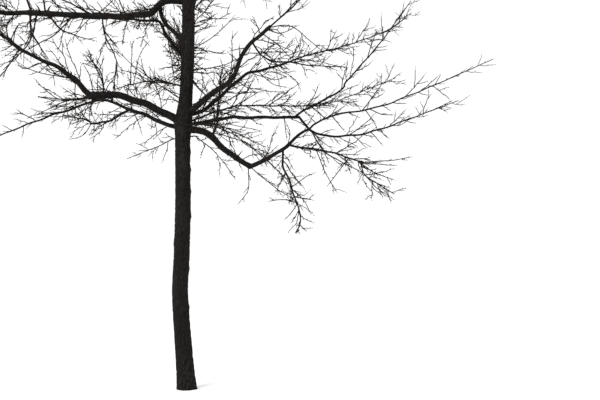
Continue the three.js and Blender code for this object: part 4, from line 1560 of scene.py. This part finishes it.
def hex_colour(code: str) -> tuple[float, float, float, float]:
    """Turns an sRGB hex colour to linear red, green, blue and 1.

    A channel up to 0.04045 is divided by 12.92, and above that it has 0.055 added, is divided by
    1.055 and raised to 2.4.
    """
    channels = [int(code[i:i + 2], 16) / 255 for i in (1, 3, 5)]
    linear = [channel / 12.92 if channel <= 0.04045 else ((channel + 0.055) / 1.055) ** 2.4
              for channel in channels]
    return (*linear, 1.0)


def add_node(material: bpy.types.Material, kind: str, settings: dict[str, Any] | None = None,
             **inputs: Any) -> bpy.types.Node:
    """Adds one node with its settings, and sets or links its inputs.

    Args:
        material: The material that gets the node.
        kind: The node's type name.
        settings: Values of the node's own properties.
        inputs: Values or sockets by input name, with _ for a space, or iN for input number N.
    Returns:
        The node.
    """
    tree = material.node_tree
    node = tree.nodes.new(kind)
    for name, value in (settings or {}).items():
        setattr(node, name, value)
    for name, value in inputs.items():
        numbered = name[0] == "i" and name[1:].isdigit()
        socket = node.inputs[int(name[1:])] if numbered else node.inputs[name.replace("_", " ")]
        if isinstance(value, bpy.types.NodeSocket):
            tree.links.new(value, socket)
        else:
            socket.default_value = value
    return node


# Bark and card reflect little at their surface, because it is rough right down to the smallest grain
MATT_GLOSS = 0.12


def new_material(name: str) -> tuple[bpy.types.Material, bpy.types.Node]:
    """A material and its shader, with nothing else in it but the output."""
    material = bpy.data.materials.new(name)
    material.use_nodes = True
    material.node_tree.nodes.clear()
    shader = add_node(material, "ShaderNodeBsdfPrincipled", Specular_IOR_Level=MATT_GLOSS)
    add_node(material, "ShaderNodeOutputMaterial", Surface=shader.outputs["BSDF"])
    return material, shader


@dataclass(frozen=True)
class FurrowedBark:
    """Weathered bark of a young broad-leaved tree: matt, dark grey plates over nearly black furrows,
    the furrows' darkness partly the bark's own and partly painted shade.
    """

    name: str = "weathered_furrowed_bark"
    # Partly painted shade: the colour at the lowest relief, darkening the furrows beyond the bark's own
    # darker colour there.
    furrow: str = "#0a0908"
    plate: str = "#1d1b1a"
    worn: str = "#272422"
    roughness: float = 0.92
    grain_width: float = 0.006
    grain_depth: float = 0.0012
    grain_share: float = 0.7
    patch_width: float = 0.16
    drawn_out: tuple[float, float, float] = (1, 1, 0.3)

    def material(self) -> bpy.types.Material:
        """Colours from the relief value, darkest in the furrows as partly painted shade, mottled by
        patches, with a fine grain for bump.

        The grain of real bark is about 1 mm. It is drawn 6 mm wide, as coarse as it needs to show.
        """
        material, shader = new_material(self.name)
        add = partial(add_node, material)
        relief = add("ShaderNodeAttribute", {"attribute_name": "relief"})
        straight = add("ShaderNodeAttribute", {"attribute_name": "straight"})
        place = add("ShaderNodeMapping", Vector=straight.outputs["Vector"], Scale=self.drawn_out)
        grain = add("ShaderNodeTexNoise", Vector=place.outputs["Vector"],
                    Scale=1 / self.grain_width, Detail=4.0, Roughness=0.6)
        patches = add("ShaderNodeTexNoise", Vector=place.outputs["Vector"],
                      Scale=1 / self.patch_width, Detail=3.0)
        wear = add("ShaderNodeMapRange", Value=patches.outputs["Fac"], From_Min=0.42, From_Max=0.68)
        plates = add("ShaderNodeMix", {"data_type": "RGBA"}, i0=wear.outputs["Result"],
                     i6=hex_colour(self.plate), i7=hex_colour(self.worn))
        roughened = add("ShaderNodeMath", {"operation": "MULTIPLY_ADD"}, i0=grain.outputs["Fac"],
                        i1=self.grain_share, i2=-self.grain_share / 2)
        height = add("ShaderNodeMath", {"operation": "ADD", "use_clamp": True},
                     i0=relief.outputs["Fac"], i1=roughened.outputs["Value"])
        # Painted shade in part: the lower the relief, the nearer the colour goes to the near-black
        # furrow colour.
        colour = add("ShaderNodeMix", {"data_type": "RGBA"}, i0=height.outputs["Value"],
                     i6=hex_colour(self.furrow), i7=plates.outputs[2])
        bump = add("ShaderNodeBump", Height=grain.outputs["Fac"], Strength=0.6,
                   Distance=self.grain_depth)
        links = material.node_tree.links
        links.new(colour.outputs[2], shader.inputs["Base Color"])
        links.new(bump.outputs["Normal"], shader.inputs["Normal"])
        shader.inputs["Roughness"].default_value = self.roughness
        return material


@dataclass(frozen=True)
class PlainFinish:
    """Smooth young bark, bud scales or card: one plain colour, as it shows from a step away."""

    name: str
    colour: str
    roughness: float

    def material(self) -> bpy.types.Material:
        """A shader with its own colour and roughness and nothing linked."""
        material, shader = new_material(self.name)
        shader.inputs["Base Color"].default_value = hex_colour(self.colour)
        shader.inputs["Roughness"].default_value = self.roughness
        return material


# Older twigs are greyer, and this year's shoots browner and a little smoother
TWIG_TONES = (
    PlainFinish("grey_brown_twig_bark", "#191715", 0.85),
    PlainFinish("brown_twig_bark", "#1d1713", 0.8),
    PlainFinish("red_brown_shoot_bark", "#201612", 0.75),
)
BUD_SCALES = PlainFinish("dark_bud_scales", "#1c130f", 0.6)
WHITE_BOARD = PlainFinish("matt_white_board", "#fcfcfb", 1.0)


# Pieces


@dataclass(frozen=True)
class BudRule:
    """A bud's length and diameter, how much of it is sunk, where it is thickest, and its foot."""

    length: float = 0.014
    diameter: float = 0.010
    sunk: float = 0.35
    belly: float = 0.4
    foot_share: float = 0.55
    spread: tuple[float, float] = (0.75, 1.2)

    def on_tips(self, shoots: Shoots, *keys: int) -> Shoots:
        """A closed bud on each shoot's tip, in line with it and sunk a little into it."""
        drawn = seeded_draws(1, Stream.BUD, *keys, np.arange(len(shoots.points)))
        size = between(self.spread, drawn)[:, :, None]
        tips = shoots.points[:, -1]
        away = unit(tips - shoots.points[:, -2])
        parts = np.array([0.0, self.belly, 1.0])[None, :, None] - self.sunk
        points = tips[:, None] + away[:, None] * self.length * size * parts
        radii = self.diameter / 2 * size[..., 0] * np.array([self.foot_share, 1.0, 0.0])
        return Shoots(points, radii, shoots.sides, shoots.sites, shoots.reaches)


class TreeDresser:
    """Makes every piece of the tree and hands it to the frame.

    The reaches are how far from its owner each kind of shoot is tested against other limbs.
    """

    twig_sides = 3
    bud_sides = 3
    mass_margin = 0.2
    branchlet_reach = 0.6
    trunk_shoot_reach = 1.5
    bough_shoot_reach = 1.0
    tones_mixed = 2
    orders_to_browner = 3
    lower_masses = len(MASSES)

    def __init__(self, skeleton: Skeleton) -> None:
        """Keeps the limbs and makes the materials."""
        self.skeleton = skeleton
        self.bark = FurrowedBark().material()
        self.twig_tones = [finish.material() for finish in TWIG_TONES]
        self.bud_scales = BUD_SCALES.material()

    @staticmethod
    def hand_over(parts: MeshParts, name: str, materials: list, slot: Slot, *nodes: str) -> None:
        """Makes a piece, lets it ride, hides the parts that it replaces, and reports it."""
        piece = parts.to_object(name, materials)
        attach(piece, BODY)
        if nodes:
            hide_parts(*nodes)
        LOG.info("%s: %d triangles", piece.name, parts.triangles())

    def dress_trunk(self) -> None:
        """The trunk's bark."""
        self.hand_over(TrunkBark(self.skeleton).build(), "bark_trunk", [self.bark], Slot.BARK, "trunk")

    def dress_limb(self, limb: Limb, coat: BarkCoat, kind: str, slot: Slot, node: str) -> None:
        """The bark of one bough or stem, in place of its node."""
        parts = LimbBark(limb, coat, self.skeleton.children_of(limb.name)).build()
        self.hand_over(parts, f"{kind}_{limb.name}", [self.bark], slot, node)

    def tones_for(self, faces: list[np.ndarray], count: int, order: int, index: int) -> list:
        """The tone of each face: one for each of so many shoots, browner in the finer orders."""
        drawn = seeded_draws(1, Stream.TONE, index, order, np.arange(count))[:, 0]
        tone = np.floor(drawn * self.tones_mixed + order / self.orders_to_browner)
        tone = np.clip(tone, 0, len(TWIG_TONES) - 1).astype(int)
        return [np.repeat(tone, len(face) // count) for face in faces]

    def dress_mass(self, stem: Limb, buds: MeshParts) -> None:
        """The twigs of one mass, in place of its node, with their buds added to the given parts."""
        parts = MeshParts()
        space = OwnSpace(self.skeleton, stem, 2 * stem.row.reach * MM + self.mass_margin)
        self.add_twigs(TwigMass(stem, space), parts, buds)
        self.hand_over(parts, f"shoots_{stem.name}", self.twig_tones, Slot.TWIGS, f"twigs_{stem.name}")

    def add_twigs(self, mass: TwigMass, parts: MeshParts, buds: MeshParts) -> None:
        """Grows a mass and adds its tubes to one mesh and its buds to another."""
        mass.grow()
        for order, shoots in enumerate(mass.orders):
            if len(shoots.points) == 0:
                continue
            vertices, faces = shoot_tubes(shoots, self.twig_sides)
            parts.add(vertices, faces, self.tones_for(faces, len(shoots.points), order, mass.index))
            buds.add(*shoot_tubes(BudRule().on_tips(shoots, mass.index, order), self.bud_sides))

    def dress_extras(self, buds: MeshParts) -> None:
        """The branchlets, and the shoots that grow straight on boughs and trunk."""
        tree = self.skeleton
        branchlets = [BranchletTwigs(limb, SharedSpace(tree, limb, self.branchlet_reach))
                      for limb in tree.branchlets]
        shoots = [TrunkShoots(tree.trunk, SharedSpace(tree, tree.trunk, self.trunk_shoot_reach))]
        shoots += [LimbShoots(bough, SharedSpace(tree, bough, self.bough_shoot_reach))
                   for bough in tree.boughs]
        for name, masses in (("branchlets", branchlets), ("limb_shoots", shoots)):
            parts = MeshParts()
            for mass in masses:
                self.add_twigs(mass, parts, buds)
            self.hand_over(parts, name, self.twig_tones, Slot.TWIGS)

    def dress_all(self) -> None:
        """Every piece, from the trunk outwards."""
        self.dress_trunk()
        for bough in self.skeleton.boughs:
            self.dress_limb(bough, BOUGH_COAT, "bark_bough", Slot.BARK, f"bough_{bough.name}")
        for stem in self.skeleton.stems:
            self.dress_limb(stem, STEM_COAT, "bark_stem", Slot.TWIGS, f"twigs_{stem.name}")
        parts_of_crown = (("lower", self.skeleton.stems[:self.lower_masses]),
                          ("upper", self.skeleton.stems[self.lower_masses:]))
        for label, stems in parts_of_crown:
            buds = MeshParts()
            for stem in stems:
                self.dress_mass(stem, buds)
            if label == "lower":
                self.dress_extras(buds)
            self.hand_over(buds, f"buds_{label}_crown", [self.bud_scales], Slot.TWIGS)


# Studio


class Studio:
    """A plain pale floor, plain soft light and a camera at the photograph's viewing angle."""

    floor_half = 220.0
    surround_strength = 1.05
    lamp_size = 9.0
    lamp_watts = 2600.0
    lamp_place = (-9.0, -12.0, 14.0)
    lamp_turns = (47, 0, -37)
    camera_place = (1.26, -9.4, 1.6)
    camera_pitch = 3.09
    focal_length = 50.1
    sensor_width = 36.0
    furthest = 600.0

    def floor(self) -> None:
        """A wide level square of matt white board at ground level."""
        mesh = bpy.data.meshes.new("studio_floor")
        half = self.floor_half
        mesh.from_pydata([(-half, -half, 0), (half, -half, 0), (half, half, 0), (-half, half, 0)],
                         [], [(0, 1, 2, 3)])
        mesh.materials.append(WHITE_BOARD.material())
        board = add_object("studio_floor", mesh)

    def light(self) -> None:
        """A white surround and one large soft lamp above and in front, on the left."""
        world = bpy.data.worlds.new("white_surround")
        world.use_nodes = True
        background = world.node_tree.nodes["Background"]
        background.inputs["Color"].default_value = (1.0, 1.0, 1.0, 1.0)
        background.inputs["Strength"].default_value = self.surround_strength
        bpy.context.scene.world = world
        lamp = bpy.data.lights.new("soft_lamp", "AREA")
        lamp.shape = "DISK"
        lamp.size = self.lamp_size
        lamp.energy = self.lamp_watts
        holder = add_object("soft_lamp", lamp)
        holder.location = self.lamp_place
        holder.rotation_euler = [math.radians(turn) for turn in self.lamp_turns]

    def camera(self) -> None:
        """The camera, which looks along +Y from eye height, tilted up a little."""
        data = bpy.data.cameras.new("photograph_view")
        data.lens = self.focal_length
        data.sensor_width = self.sensor_width
        data.clip_end = self.furthest
        camera = add_object("photograph_view", data)
        camera.location = self.camera_place
        camera.rotation_euler = (math.radians(90 + self.camera_pitch), 0.0, 0.0)
        bpy.context.scene.camera = camera

    def set_up(self) -> None:
        """Everything that isn't the tree."""
        self.floor()
        self.light()
        self.camera()
        bpy.context.scene.view_settings.view_transform = "Standard"


def main() -> None:
    """Builds the studio and then the tree, piece by piece."""
    logging.basicConfig(level=logging.INFO, format="%(message)s")
    Studio().set_up()
    TreeDresser(Skeleton(Crown(), TrunkForm())).dress_all()


if __name__ == "__main__":
    main()
